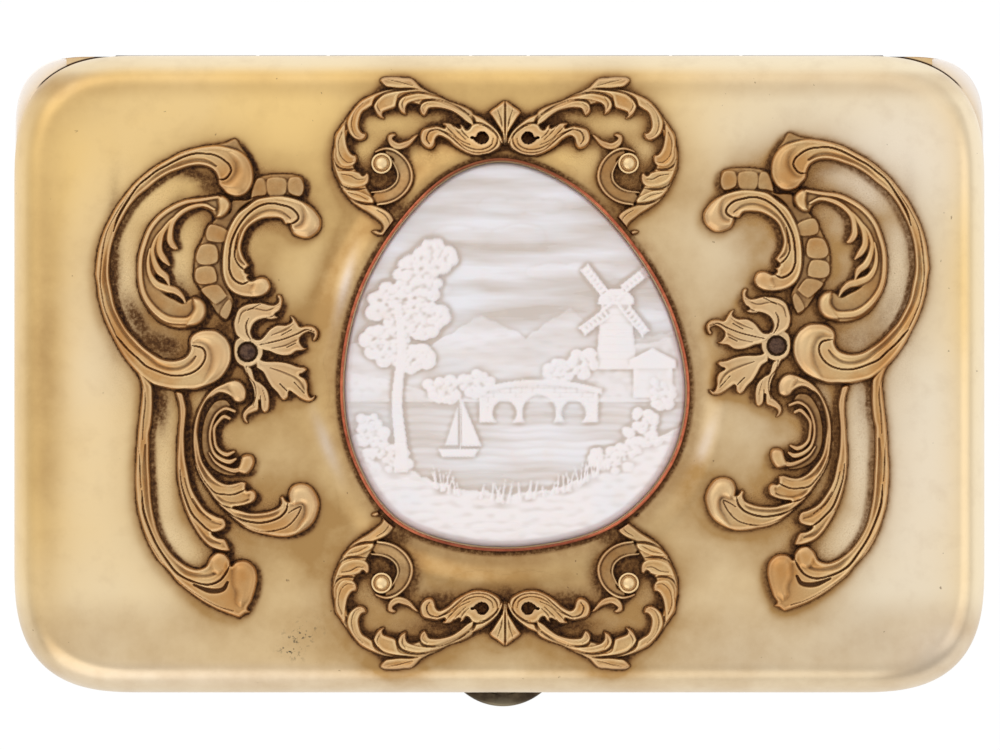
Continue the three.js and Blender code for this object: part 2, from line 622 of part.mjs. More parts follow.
function bezel() {
  const z = BOSS_Z + 0.05;
  const i = CAMEO_CLEARANCE;
  const profile = [
    [i, z], [i + BEZEL_WALL, z], [i + BEZEL_WALL, z + BEZEL_HEIGHT * 0.7],
    [i + BEZEL_WALL * 0.7, z + BEZEL_HEIGHT], [i - BEZEL_LIP, z + BEZEL_HEIGHT * 0.95],
    [i, z + BEZEL_HEIGHT * 0.55],
  ];
  return hoop(Array.from({ length: EGG_STATIONS }, (_, k) => profile.map(([out, h]) => eggRing(out, h)[k])));
}

// Scroll mounts. A strand is drawn as [x, y, half-width] from its thick end to its tip, in
// millimetres from the middle of the case, and a boss as [x, y, radius]. Strands run so that the
// inside of their bend is on their left.

const strandHeight = (w) => Math.min(STRAND_TOP, STRAND_BASE + STRAND_SLOPE * w);

// Sections across a strand: shares of its half-width and of its height
const PLAIN = [[-1, 0], [1, 0], [0.6, 1], [-0.6, 1]];
const RIDGED = [[-1, 0], [1, 0], [0, 1]];
const GROOVED = [[-1, 0], [1, 0], [0.8, 0.8], [0.35, 0.85], [0.05, 0.5], [-0.15, 1], [-0.75, 1]];

function strand(points, section) {
  const stations = points.map(([x, y, w]) => new THREE.Vector3(x, y, w));
  const curve = new THREE.CatmullRomCurve3(stations, false, 'centripetal');
  const steps = Math.max(3, Math.round(curve.getLength() / STRAND_STEP));
  return solid(loft(Array.from({ length: steps + 1 }, (_, k) => {
    const p = curve.getPointAt(k / steps);
    const d = curve.getTangentAt(k / steps);
    const n = new THREE.Vector2(-d.y, d.x).normalize().multiplyScalar(p.z);
    const h = strandHeight(p.z);
    return section.map(([across, up]) => new THREE.Vector3(p.x + n.x * across, p.y + n.y * across, up * h));
  })));
}

function boss([x, y, r]) {
  const h = strandHeight(r);
  const profile = [[0, 0], [r, 0], [r * 0.72, h * 0.8], [0, h]];
  return solid(new THREE.LatheGeometry(profile.map(([a, b]) => new THREE.Vector2(a, b)), BOSS_SIDES)
    .rotateX(Math.PI / 2).translate(x, y, 0));
}

const upright = (x, y, r, z0, z1) => solid(new THREE.CylinderGeometry(r, r, z1 - z0, 10)
  .rotateX(Math.PI / 2).translate(x, y, (z0 + z1) / 2));
const bore = ([x, y]) => upright(x, y, STUD_SHANK + 0.12, -1, 4);
const drawn = (points) => points.map((p) => p.map((v) => v * DRAWN));

const SIDE_SCROLLS = [
  // the great C, the leaf scroll inside it and the small C
  [[-30.6, 23.9, 1], [-33.4, 24.4, 1.2], [-37.7, 23.4, 1.1], [-42.2, 19.6, 1], [-44.3, 15, 0.85],
    [-44.8, 10.5, 0.85],
    [-43.2, 5, 1], [-39.6, 1.1, 1.3], [-36.5, -0.1, 1.75], [-34, 0.6, 1.9]],
  [[-32.2, 18.9, 0.6], [-35, 19, 0.8], [-37.9, 16.6, 1], [-39.7, 12.4, 1.15], [-38.9, 8.4, 1.2],
    [-36.8, 6.8, 1.3], [-34.8, 6.9, 1.2]],
  [[-22.4, 17.8, 1.2], [-24.8, 18.9, 1.1], [-27.8, 18.2, 1.1], [-29.9, 15.6, 1.05], [-30.3, 12.4, 0.95],
    [-29.3, 10.2, 0.95], [-27.4, 9.6, 0.9]],
  // the long scroll down the outside, and the lowest curl
  [[-38.1, -0.4, 0.7], [-39.9, -3.6, 0.9], [-40.3, -10, 0.95], [-39.9, -16.5, 1.1], [-37.6, -21.9, 1.3],
    [-33.9, -24.1, 1.5], [-30.9, -24, 1.4]],
  [[-33.7, -11.4, 0.4], [-31.4, -15.6, 0.6], [-27.4, -17.2, 0.9], [-23.6, -16.6, 1.1], [-22.2, -14.6, 1]],
];
const SIDE_STRANDS = [
  // leaf lobes
  [[-38.5, 16, 0.5], [-37.4, 14.8, 0.45], [-36.6, 14.2, 0.15]],
  [[-38.8, 12.4, 0.5], [-38, 11.2, 0.4], [-37.4, 10, 0.15]],
  // the laddered rocaille between the scrolls
  [[-22, 21, 0.9], [-25.5, 21.2, 1.1], [-29, 20.2, 1.2], [-31.9, 17, 1.2], [-33, 13.2, 1.2],
    [-32.8, 10.2, 1.1],
    [-30.5, 6.8, 0.8]],
  // the long scrolls' inner strands and leaf tips
  [[-31, -25.2, 0.9], [-29.4, -26, 0.6], [-28.2, -26.8, 0.3]],
  [[-36.5, -1.3, 0.4], [-35.9, -6, 0.5], [-35.8, -11, 0.5], [-34.3, -15.4, 0.6], [-31.4, -17, 0.5]],
  [[-35.7, -12.6, 0.4], [-34.7, -17, 0.6], [-32.6, -19.2, 0.65], [-31, -20.2, 0.5]],
  // the middle curls
  [[-30.2, -1.4, 0.7], [-32.8, -2.2, 0.5], [-34.1, -5.4, 0.45], [-34, -9.8, 0.5],
    [-31.7, -12.9, 0.5], [-28.9, -12.3, 0.3]],
  [[-33.9, -10.6, 0.35], [-32.4, -13.6, 0.45], [-30, -14.7, 0.5], [-28.3, -14, 0.4]],
  [[-30, -2.8, 0.5], [-32.5, -4.1, 0.6], [-33.1, -7, 0.65], [-31.2, -10.1, 0.6], [-29.3, -10.2, 0.5]],
];
const SIDE_BOSSES = [
  [-29.8, 22.2, 2.1], [-32.9, 2.2, 2.5], [-31.2, 18.8, 0.95], [-34.3, 7.1, 1.7], [-21.9, 17, 1.8],
  [-27, 9.8, 1.25],
  [-31.7, -21.4, 1.1], [-29.1, -23.1, 1.9], [-29.6, -1.6, 1.35], [-28.8, -9.9, 0.95], [-22.2, -14, 1.75],
];
// the flower's petals, spread from its eye
const FLOWER_EYE = [-28.45, 2.4, 1.5];
const PETALS = [
  [[-28.8, 3.4, 0.6], [-29, 5.6, 0.8], [-27.8, 7, 0.75], [-25.9, 7.4, 0.5], [-24.8, 8.7, 0.25]],
  [[-27.8, 3.4, 0.5], [-25.8, 4.6, 0.6], [-24, 5.2, 0.5], [-23, 6.2, 0.25]],
  [[-27, 3, 0.3], [-24.2, 4, 0.5], [-22, 5.1, 0.5], [-20.8, 4.6, 0.3]],
  [[-27.2, 2.6, 0.4], [-24.9, 2.9, 0.45], [-22.1, 2.9, 0.25]],
  [[-27.4, 1.8, 0.5], [-24.9, 1, 0.6], [-22, 0.5, 0.4]],
  [[-27.6, 1.3, 0.4], [-25, -0.6, 0.9], [-22.6, -1.8, 0.7], [-21.2, -2.8, 0.25]],
  [[-28.3, 1.2, 0.4], [-27.4, -1, 0.5], [-26.8, -3, 0.7], [-26.7, -4, 0.4]],
  [[-28.9, 1.2, 0.35], [-28.2, -1, 0.4], [-28, -3.2, 0.5], [-28.6, -5.2, 0.3]],
];

// The left mount, flat
function sideCasting() {
  const [[x, y, r]] = drawn([FLOWER_EYE]);
  return join(
    ...SIDE_SCROLLS.map((s) => strand(drawn(s), GROOVED)),
    ...SIDE_STRANDS.map((s) => strand(drawn(s), PLAIN)),
    ...PETALS.map((s) => strand(drawn(s), RIDGED)),
    ...drawn(SIDE_BOSSES).map(boss),
    upright(x, y, r, 0, GROUND * 2),
    upright(x, y, r * 1.6, 0, GROUND),
  ).subtract(bore([x, y]));
}

// The left half of the top mount; the right half is its mirror image
const END_MIDDLE = 0.65 * DRAWN;
const END_STRANDS = [
  // palmette leaf
  [[0.65, 25.6, 0.3], [0.2, 28, 0.7], [0.1, 29.6, 0.9], [0.65, 30.6, 0.4]],
  // the arm over the top, with its hooked lobes
  [[-0.4, 27.9, 0.6], [-3.4, 29.4, 0.7], [-7.6, 31.4, 0.8], [-10.6, 32.9, 0.6], [-13.2, 33.1, 0.25]],
  [[-5, 30, 0.4], [-7.4, 30.4, 0.45], [-8.6, 29.7, 0.35]],
  [[-7.6, 31.2, 0.4], [-10, 31, 0.5], [-10.8, 29.8, 0.35]],
  [[-9.6, 32, 0.4], [-12.6, 31.1, 0.8], [-13.5, 29.4, 0.4]],
  [[-12, 31.8, 0.4], [-15.2, 30.2, 0.8], [-16.5, 28, 0.6], [-15.5, 26.8, 0.3]],
  [[-16.4, 29.4, 0.3], [-18, 26.6, 0.5], [-17.8, 24.4, 0.5], [-16.3, 24.2, 0.3]],
  [[-18, 22.5, 0.5], [-16.6, 22.2, 0.8], [-15, 22.5, 0.5]],
  // the stem round the outside, and the tail by the bezel
  [[-17.9, 27, 0.4], [-18.6, 24, 0.5], [-17.8, 21.2, 0.6], [-15.4, 19.5, 0.7], [-12.9, 18, 0.5],
    [-12.6, 16.4, 0.9]],
  // the spiral round the stud
  [[-14.8, 20.2, 0.4], [-12.5, 19.6, 0.5], [-10.4, 21.2, 0.6], [-10.4, 23.6, 0.6],
    [-12.2, 25, 0.5], [-13.9, 24.9, 0.4]],
  // the fan of strands into the centre volute, and its curl
  [[-1.6, 25.1, 0.5], [-4.4, 26, 1], [-6.2, 27.3, 0.7], [-8.2, 27.1, 0.4], [-8.8, 26, 0.35]],
  [[-8.9, 26.6, 0.3], [-10.8, 25.8, 0.45], [-12.2, 26.1, 0.4]],
];
const END_BOSSES = [[-7.9, 25.9, 0.75], [-12.2, 26.6, 0.5], [-1.7, 26.5, 1.75]];
const STUD = [-13.3, 23.7];
const SPIRAL = [-12.8, 22.4, 2.9];

// The top mount, flat
function endCasting() {
  const [[x, y], [cx, cy, cr]] = drawn([STUD, SPIRAL]);
  const half = join(
    ...END_STRANDS.map((s) => strand(drawn(s), RIDGED)),
    ...drawn(END_BOSSES).map(boss),
    upright(x, y, STUD_HEAD * 1.45, 0, STUD_PAD),
    upright(cx, cy, cr, 0, GROUND),
  ).subtract(bore([x, y]));
  return half.add(solid(mirrored(geometryOf(half), END_MIDDLE)));
}

function mirrored(geometry, middle) {
  return geometry.clone().scale(-1, 1, 1).translate(2 * middle, 0, 0);
}

// Where each casting sits, taken from the left or the top one's drawing
const PLACES = {
  left: (g) => g,
  right: (g) => mirrored(g, 1.45 * DRAWN).translate(0, 0.7 * DRAWN, 0),
  top: (g) => g,
  bottom: (g) => g.clone().scale(1, -1, 1).translate(0, 0.2 * DRAWN, 0),
};

function placed(where, [x, y]) {
  const point = new THREE.BufferGeometry().setFromPoints([new THREE.Vector3(x, y, 0)]);
  const p = PLACES[where](point).attributes.position;
  return [p.getX(0), p.getY(0)];
}

// Files a casting back round the bezel and lays it onto the lid, so that its back follows the
// crown and the boss
function laid(manifold, where) {
  const round = solid(prism(eggRing(CAMEO_CLEARANCE + BEZEL_WALL + MOUNT_SEAT, 0), -1, 4));
  const g = geometryOf(solid(PLACES[where](geometryOf(manifold))).subtract(round));
  const p = g.attributes.position;
  for (let i = 0; i < p.count; i++) p.setZ(i, p.getZ(i) + lidTop(p.getX(i), p.getY(i)) + MOUNT_SEAT);
  return g;
}

// A dome-headed stud through a casting and the lid, spread over inside
function stud([x, y], pad, head, dome) {
  const z = lidTop(x, y) + MOUNT_SEAT + pad + 0.08;
  const tail = lidTop(x, y) - WALL - TAIL_CLEARANCE;
  const profile = [
    [0, z + dome], [head * 0.6, z + dome * 0.85], [head, z + dome * 0.3], [head, z], [STUD_SHANK, z],
    [STUD_SHANK, tail], [TAIL_HEAD, tail], [TAIL_HEAD, tail - TAIL_THICKNESS], [0, tail - TAIL_THICKNESS],
  ].map(([a, b]) => new THREE.Vector2(a, b));
  return new THREE.LatheGeometry(profile, 8).rotateX(Math.PI / 2).translate(x, y, 0);
}

const [eye, studLeft] = drawn([FLOWER_EYE.slice(0, 2), STUD]);
const studRight = [2 * END_MIDDLE - studLeft[0], studLeft[1]];
const EYES = { left: placed('left', eye), right: placed('right', eye) };
const STUDS = {
  top_left: placed('top', studLeft),
  top_right: placed('top', studRight),
  bottom_left: placed('bottom', studLeft),
  bottom_right: placed('bottom', studRight),
};

// Assembly

function named(name, geometry, material) {
  const g = weld(geometry);
  g.computeVertexNormals();
  const mesh = new THREE.Mesh(g, material);
  mesh.name = name;
  return mesh;
}

const cigaretteCase = new THREE.Group();
const base = new THREE.Group();
const lid = new THREE.Group();
const lidPieces = new THREE.Group();
const latch = new THREE.Group();
cigaretteCase.add(base, lid, latch);
// the lid turns about the pin: opening it is a negative turn about X
lid.position.set(0, HINGE_Y, PARTING);
lidPieces.position.set(0, -HINGE_Y, -PARTING);
lid.add(lidPieces);

base.add(
  named('base_shell', baseShell(), gilt()),
  named('base_hinge_bearer', bearer(-1), gilt()),
  named('base_rim_left', rim(-1), gilt()),
  named('base_rim_right', rim(1), gilt()),
  named('hinge_pin', barAlongX(PIN_RADIUS, -HINGE_HALF, HINGE_HALF, HINGE_Y, PARTING, 12), springSteel()),
  named('latch_guide', guide(), gilt()),
  named('latch_spring', spring(), springSteel()),
  named('spring_block', springBlock(), gilt()),
  named('spring_rivet_outer', springRivet(SPRING_RIVETS[0]), gilt()),
  named('spring_rivet_inner', springRivet(SPRING_RIVETS[1]), gilt()),
  named('base_band', band(-1), elastic()),
  named('base_keeper_front', keeper(true, -1), gilt()),
  named('base_keeper_back', keeper(false, -1), gilt()),
);
[0, 2, 4, 6].forEach((k, i) => base.add(named(`base_knuckle_${i + 1}`, knuckle(k), gilt())));

latch.add(
  named('thumb_button', button(), oxidised()),
  named('latch_hook', hook(), springSteel()),
);

const side = sideCasting();
const end = endCasting();
lidPieces.add(
  named('lid_shell', lidShell([...Object.values(EYES), ...Object.values(STUDS)]), gilt()),
  named('lid_hinge_bearer', bearer(1), gilt()),
  named('strike_plate', strike(), gilt()),
  named('cameo_plaque', plaque(), pearl()),
  named('cameo_bezel', bezel(), rose()),
  named('left_mount', laid(side, 'left'), castGilt()),
  named('right_mount', laid(side, 'right'), castGilt()),
  named('top_mount', laid(end, 'top'), castGilt()),
  named('bottom_mount', laid(end, 'bottom'), castGilt()),
  named('left_rivet', stud(EYES.left, GROUND * 2, 1.1, 0.35), darkBrass()),
  named('right_rivet', stud(EYES.right, GROUND * 2, 1.1, 0.35), darkBrass()),
  named('lid_band', band(1), elastic()),
  named('lid_keeper_front', keeper(true, 1), gilt()),
  named('lid_keeper_back', keeper(false, 1), gilt()),
);
[1, 3, 5].forEach((k, i) => lidPieces.add(named(`lid_knuckle_${i + 1}`, knuckle(k), gilt())));
for (const [place, at] of Object.entries(STUDS)) {
  lidPieces.add(named(`stud_${place}`, stud(at, STUD_PAD, STUD_HEAD, 0.6), castGilt()));
}

export default cigaretteCase;
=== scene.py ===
import math

import bpy
import numpy as np
from bpy.props import FloatProperty, FloatVectorProperty, IntProperty, PointerProperty
from bpy.types import Operator, Panel, PropertyGroup
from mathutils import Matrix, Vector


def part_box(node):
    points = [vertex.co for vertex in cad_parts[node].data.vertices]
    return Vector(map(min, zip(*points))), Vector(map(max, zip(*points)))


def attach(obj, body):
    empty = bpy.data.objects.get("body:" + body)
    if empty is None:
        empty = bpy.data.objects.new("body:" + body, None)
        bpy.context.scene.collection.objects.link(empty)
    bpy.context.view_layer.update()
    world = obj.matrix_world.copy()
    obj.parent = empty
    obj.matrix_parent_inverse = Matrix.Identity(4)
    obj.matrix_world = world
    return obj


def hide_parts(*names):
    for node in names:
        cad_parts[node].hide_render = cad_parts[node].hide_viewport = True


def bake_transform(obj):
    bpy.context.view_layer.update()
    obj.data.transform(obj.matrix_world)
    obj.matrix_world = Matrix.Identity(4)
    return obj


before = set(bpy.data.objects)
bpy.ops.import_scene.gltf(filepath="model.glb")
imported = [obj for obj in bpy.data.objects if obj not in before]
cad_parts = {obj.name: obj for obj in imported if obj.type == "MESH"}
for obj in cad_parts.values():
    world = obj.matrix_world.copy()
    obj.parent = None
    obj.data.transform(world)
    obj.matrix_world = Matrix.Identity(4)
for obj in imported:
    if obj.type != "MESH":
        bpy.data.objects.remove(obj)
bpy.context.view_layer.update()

bl_info = {
    "name": "Gilt Cigarette Case",
    "version": (1, 0, 0),
    "blender": (4, 5, 0),
    "location": "View3D > Sidebar > Case",
    "description": "Finishes a gilt cigarette case with scroll mounts and a carved pearl plaque",
    "category": "Object",
}

MM = 0.001

# The case, in millimetres, as its solids are
LID_LOW, LID_HIGH = (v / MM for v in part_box("lid_shell"))
LENGTH = LID_HIGH.x - LID_LOW.x
DEPTH = LID_HIGH.y - LID_LOW.y
PARTING = 8.8  # the height at which the lid and the base meet
GAP = 0.3  # between them
FIELD = 17.2  # the height of the lid's field at its edge
CROWN = 0.4  # how much higher it is in the middle
WALL = 0.9
CORNER = 14.7  # the reach of the corners along both sides
BACK_CORNER = 8.9  # of the base's back corners, which show behind the lid's
POWER = 2.85  # of the corners' superellipse
ROLL_WIDTH, ROLL_HEIGHT = 3.4, 5.0  # of the rolled edge
BOSS_TOP = 18.45  # the height of the boss round the plaque
BOSS_LIP, BOSS_FOOT = 1.25, 5.0  # how far out from the plaque it begins to fall, and ends
SEAT = 17.45  # the height of the plaque's seat
EGG_GAP = 0.2  # between the plaque's outline and the wall round its seat
BEZEL_WALL = 0.62
HINGE_Y = 35.02
KNUCKLE_RADIUS = 1.2
HINGE_RELIEF = 1.6  # the depth of the notch that the knuckles lie in
NOTCH, NOTCH_FRONT = 49.45, 32.77  # its half length, and where it begins
LEDGE = (BACK_CORNER, CORNER - 0.1)  # the corners of the base's lip, outside and inside
BREAK, INNER_BREAK = 0.12, 0.1  # the flats on sharp edges
BUTTON_MIDDLE, BUTTON_HALF, BUTTON_PROUD = 0.4, 4.5, 1.65

# Fine work over the lid, in millimetres
SIDES_MIDDLE = 1.45  # between the two side mounts
SIDES_DROP = 0.7  # how much further back the right one sits
END_MIDDLE = 0.65  # of the top mount and of the bottom one, from left to right
ENDS_MIDDLE = 0.1  # between the top and the bottom mount
MASK_STEP = 0.15  # of the grid that holds where the castings cover the lid
GROUND_LIFT = 0.015  # of the skins that carry the dirt and the painted shade round the mounts
CASTING_TOP = 1.62  # how far a casting stands over the lid at most

# The photograph that the camera matches: its width in pixels, and pixels to a millimetre
PHOTO_WIDTH = 1000
PHOTO_SCALE = 8.82
SENSOR = 36


# Plans and surfaces


def traced(steps, units=(10, 10)):
    """Points from a start and the steps from each to the next, as flat numbers in tenths of a millimetre"""
    return np.cumsum(np.reshape(steps, (-1, len(units))), axis=0) / units


def smooth_path(points, step, closed=False):
    """A centripetal spline through the points, with a row about every step"""
    p = np.array(points, float)
    ends = [p[-1]], [p[0], p[1]]
    if not closed:
        ends = [2 * p[0] - p[1]], [2 * p[-1] - p[-2]]
    p = np.vstack([ends[0], p, ends[1]])
    rows = []
    for i in range(1, len(p) - 2):
        p0, p1, p2, p3 = p[i - 1 : i + 3]
        t = [0.0]
        for a, b in ((p0, p1), (p1, p2), (p2, p3)):
            t.append(t[-1] + max(np.linalg.norm((b - a)[:2]), 1e-6) ** 0.5)
        n = max(2, int(np.ceil(np.linalg.norm((p2 - p1)[:2]) / step)))
        s = np.linspace(t[1], t[2], n, endpoint=False)[:, None]

        def between(a, b, low, high):
            return (t[high] - s) / (t[high] - t[low]) * a + (s - t[low]) / (t[high] - t[low]) * b

        a1, a2, a3 = between(p0, p1, 0, 1), between(p1, p2, 1, 2), between(p2, p3, 2, 3)
        rows.append(between(between(a1, a2, 0, 2), between(a2, a3, 1, 3), 1, 2))
    if not closed:
        rows.append(p[-2:-1])
    return np.vstack(rows)


EGG_MIDDLE = np.array([1.4, 0.8])
EGG = [
    (0.7, 23.9), (-5.1, 22.4), (-11, 16.9), (-15.7, 8.6), (-17.5, -1), (-16.3, -9), (-11.9, -16),
    (-4.8, -19), (4.2, -19.3), (13.1, -16.6), (19, -10.2), (21, -2.5), (19.4, 6.2), (14.9, 14.3), (8.4, 20.9),
]


def seen_from(middle, outline):
    """An outline's directions from its middle, in order, and how far out it lies in each"""
    d = outline - middle
    turn = np.arctan2(d[:, 1], d[:, 0])
    order = np.argsort(turn)
    return turn[order], np.hypot(d[:, 0], d[:, 1])[order]


EGG_TURN, EGG_REACH = seen_from(EGG_MIDDLE, smooth_path(EGG, 0.3, closed=True))


def egg_radius(turn):
    return np.interp(turn, EGG_TURN, EGG_REACH, period=2 * math.pi)


def outside_egg(x, y):
    """How far a point lies outside the plaque's outline"""
    dx, dy = x - EGG_MIDDLE[0], y - EGG_MIDDLE[1]
    return np.hypot(dx, dy) - egg_radius(np.arctan2(dy, dx))


def off_egg(points, out):
    """Points this far outside the egg, in the direction of other points"""
    d = points - EGG_MIDDLE
    turn = np.arctan2(d[:, 1], d[:, 0])
    r = egg_radius(turn) + out
    return EGG_MIDDLE + np.stack([r * np.cos(turn), r * np.sin(turn)], 1)


def smoothstep(x, low, high):
    t = np.clip((x - low) / (high - low), 0, 1)
    return t * t * (3 - 2 * t)


def inset_at(x, y):
    """How far a point lies inside the case's outline"""
    a, b = LENGTH / 2, DEPTH / 2
    u = np.maximum(np.abs(x) - (a - CORNER), 0)
    v = np.maximum(np.abs(y) - (b - CORNER), 0)
    return np.where(
        (u <= 0) | (v <= 0),
        np.minimum(a - np.abs(x), b - np.abs(y)),
        CORNER - (u**POWER + v**POWER) ** (1 / POWER),
    )


def lid_top(x, y):
    """The height of the lid's outer surface"""
    a, b = LENGTH / 2 - ROLL_WIDTH, DEPTH / 2 - ROLL_WIDTH
    across = np.clip(1 - inset_at(x, y) / ROLL_WIDTH, 0, 1)
    roll = ROLL_HEIGHT * (1 - np.sqrt(1 - across * across))
    crown = CROWN * np.maximum(0, 1 - (x / a) ** 2) * np.maximum(0, 1 - (y / b) ** 2)
    field = FIELD - roll + crown
    boss = 1 - smoothstep(outside_egg(x, y), BOSS_LIP, BOSS_FOOT)
    return field + (BOSS_TOP - field) * boss


def plan(inset, back=CORNER, corner=36, long=150, short=80):
    """The case's outline, drawn in by an inset, counter-clockwise"""
    a, b = LENGTH / 2 - inset, DEPTH / 2 - inset
    corners = [(1, 1, back), (-1, 1, back), (-1, -1, CORNER), (1, -1, CORNER)]
    rows = []
    for i, (sx, sy, radius) in enumerate(corners):
        r = max(radius - inset, 0.05)
        k = np.linspace(0, 1, corner + 1)
        t = (k if sx * sy > 0 else 1 - k) * math.pi / 2
        bend = [sx * (a - r + r * np.cos(t) ** (2 / POWER)), sy * (b - r + r * np.sin(t) ** (2 / POWER))]
        arc = np.stack(bend, 1)
        rows.append(arc)
        nx, ny, after = corners[(i + 1) % 4]
        after = max(after - inset, 0.05)
        to = np.array([nx * (a - after), ny * b] if i % 2 == 0 else [nx * a, ny * (b - after)])
        n = long if i % 2 == 0 else short
        s = np.linspace(0, 1, n + 1)[1:-1, None]
        rows.append(arc[-1] * (1 - s) + to * s)
    return np.vstack(rows)


def raise_to(points, z):
    return np.column_stack([points, np.broadcast_to(z, len(points))])


# Meshes


def make_object(name, verts, faces, material=None, smooth=True, angle=None):
    """A mesh object from points in millimetres"""
    mesh = bpy.data.meshes.new(name)
    mesh.from_pydata((np.asarray(verts, float) * MM).tolist(), [], [tuple(f) for f in faces])
    mesh.validate()
    if smooth:
        mesh.shade_smooth()
    if angle:
        mesh.set_sharp_from_angle(angle=math.radians(angle))
    obj = bpy.data.objects.new(name, mesh)
    bpy.context.scene.collection.objects.link(obj)
    if material:
        mesh.materials.append(material)
    return obj


def skin(rings):
    """Points and faces of one closed body over a row of rings"""
    n = len(rings[0])
    verts = np.vstack(rings)
    i = np.arange(n)
    j = (i + 1) % n
    faces = []
    for a in range(0, len(verts) - n, n):
        faces += np.stack([a + i, a + j, a + n + j, a + n + i], 1).tolist()
    for ring, (p, q) in ((0, (j, i)), (len(rings) - 1, (i, j))):
        middle = np.full(n, len(verts))
        verts = np.vstack([verts, rings[ring].mean(0)])
        faces += np.stack([ring * n + p, ring * n + q, middle], 1).tolist()
    return verts, faces


def blur(grid, radius, step):
    """A grid softened over this many millimetres"""
    n = max(1, int(math.ceil(2.5 * radius / step)))
    k = np.exp(-0.5 * (np.arange(-n, n + 1) * step / radius) ** 2)
    k /= k.sum()
    out = grid
    for axis in (0, 1):
        pad = [(0, 0), (0, 0)]
        pad[axis] = (n, n)
        wide = np.pad(out, pad, mode="edge")
        size = out.shape[axis]
        total = np.zeros_like(out)
        for i, w in enumerate(k):
            total += w * (wide[i : i + size] if axis == 0 else wide[:, i : i + size])
        out = total
    return out


def set_attribute(obj, name, values):
    attribute = obj.data.attributes.get(name) or obj.data.attributes.new(name, "FLOAT", "POINT")
    attribute.data.foreach_set("value", np.asarray(values, np.float32))


def apply_modifiers(context, obj):
    """Turns an object into the plain mesh that its modifiers make"""
    shape = bpy.data.meshes.new_from_object(obj.evaluated_get(context.evaluated_depsgraph_get()))
    obj.modifiers.clear()
    obj.data = shape


# Nodes and finishes


def rgb(r, g, b):
    """A colour as it shows on a screen, 0 to 255, as Blender holds it"""
    c = np.array([r, g, b]) / 255
    c = np.where(c <= 0.04045, c / 12.92, ((c + 0.055) / 1.055) ** 2.4)
    return (float(c[0]), float(c[1]), float(c[2]), 1.0)


class Nodes:
    """A node tree, and short ways to add nodes to it and wire them"""

    def __init__(self, tree):
        self.tree = tree

    def put(self, socket, value):
        """Links another node's output to a socket, or sets its value"""
        if isinstance(value, bpy.types.NodeSocket):
            self.tree.links.new(value, socket)
        else:
            socket.default_value = value

    def add(self, kind, sockets=(), **settings):
        """Adds a node and gives its outputs"""
        node = self.tree.nodes.new(kind)
        for key, value in settings.items():
            setattr(node, key, value)
        for key, value in dict(sockets).items():
            self.put(node.inputs[key], value)
        return node.outputs

    def math(self, operation, a, b=0.0, clamp=False):
        return self.add("ShaderNodeMath", {0: a, 1: b}, operation=operation, use_clamp=clamp)[0]

    def times(self, a, b):
        """A product held between 0 and 1"""
        return self.math("MULTIPLY", a, b, clamp=True)


class Finish(Nodes):
    """A material whose colour is laid on coat by coat"""

    def __init__(self, name):
        self.material = bpy.data.materials.new(name)
        self.material.use_nodes = True
        super().__init__(self.material.node_tree)
        self.shader = self.tree.nodes["Principled BSDF"]

    def place(self, stretch=(1, 1, 1)):
        """Object coordinates in millimetres"""
        where = self.add("ShaderNodeTexCoord")["Object"]
        return self.add("ShaderNodeMapping", {"Vector": where, "Scale": [s / MM for s in stretch]})["Vector"]

    def noise(self, scale, detail=4.0, rough=0.55, stretch=(1, 1, 1)):
        sockets = {"Vector": self.place(stretch), "Scale": scale, "Detail": detail, "Roughness": rough}
        return self.add("ShaderNodeTexNoise", sockets)["Fac"]

    def value(self, name):
        return self.add("ShaderNodeAttribute", attribute_name=name)["Fac"]

    def fit(self, value, low, high, to_low=0.0, to_high=1.0):
        sockets = {"Value": value, "From Min": low, "From Max": high, "To Min": to_low, "To Max": to_high}
        return self.add("ShaderNodeMapRange", sockets)["Result"]

    def mix(self, share, a, b):
        return self.add("ShaderNodeMix", {0: share, 6: a, 7: b}, data_type="RGBA")[2]

    def start(self, share, a, b):
        """The first coat: two colours mixed"""
        self.color = self.mix(share, tuple(a), tuple(b))

    def coat(self, share, color):
        """One more coat over the colour so far"""
        self.color = self.mix(share, self.color, tuple(color))

    def bump(self, height, distance, strength=1.0, after=None):
        sockets = {"Height": height, "Distance": distance * MM, "Strength": strength}
        if after is not None:
            sockets["Normal"] = after
        return self.add("ShaderNodeBump", sockets)["Normal"]

    def done(self, **sockets):
        """Wires the colour and other sockets to the shader, and gives the material"""
        for key, value in {"Base_Color": self.color, **sockets}.items():
            self.put(self.shader.inputs[key.replace("_", " ")], value)
        return self.material


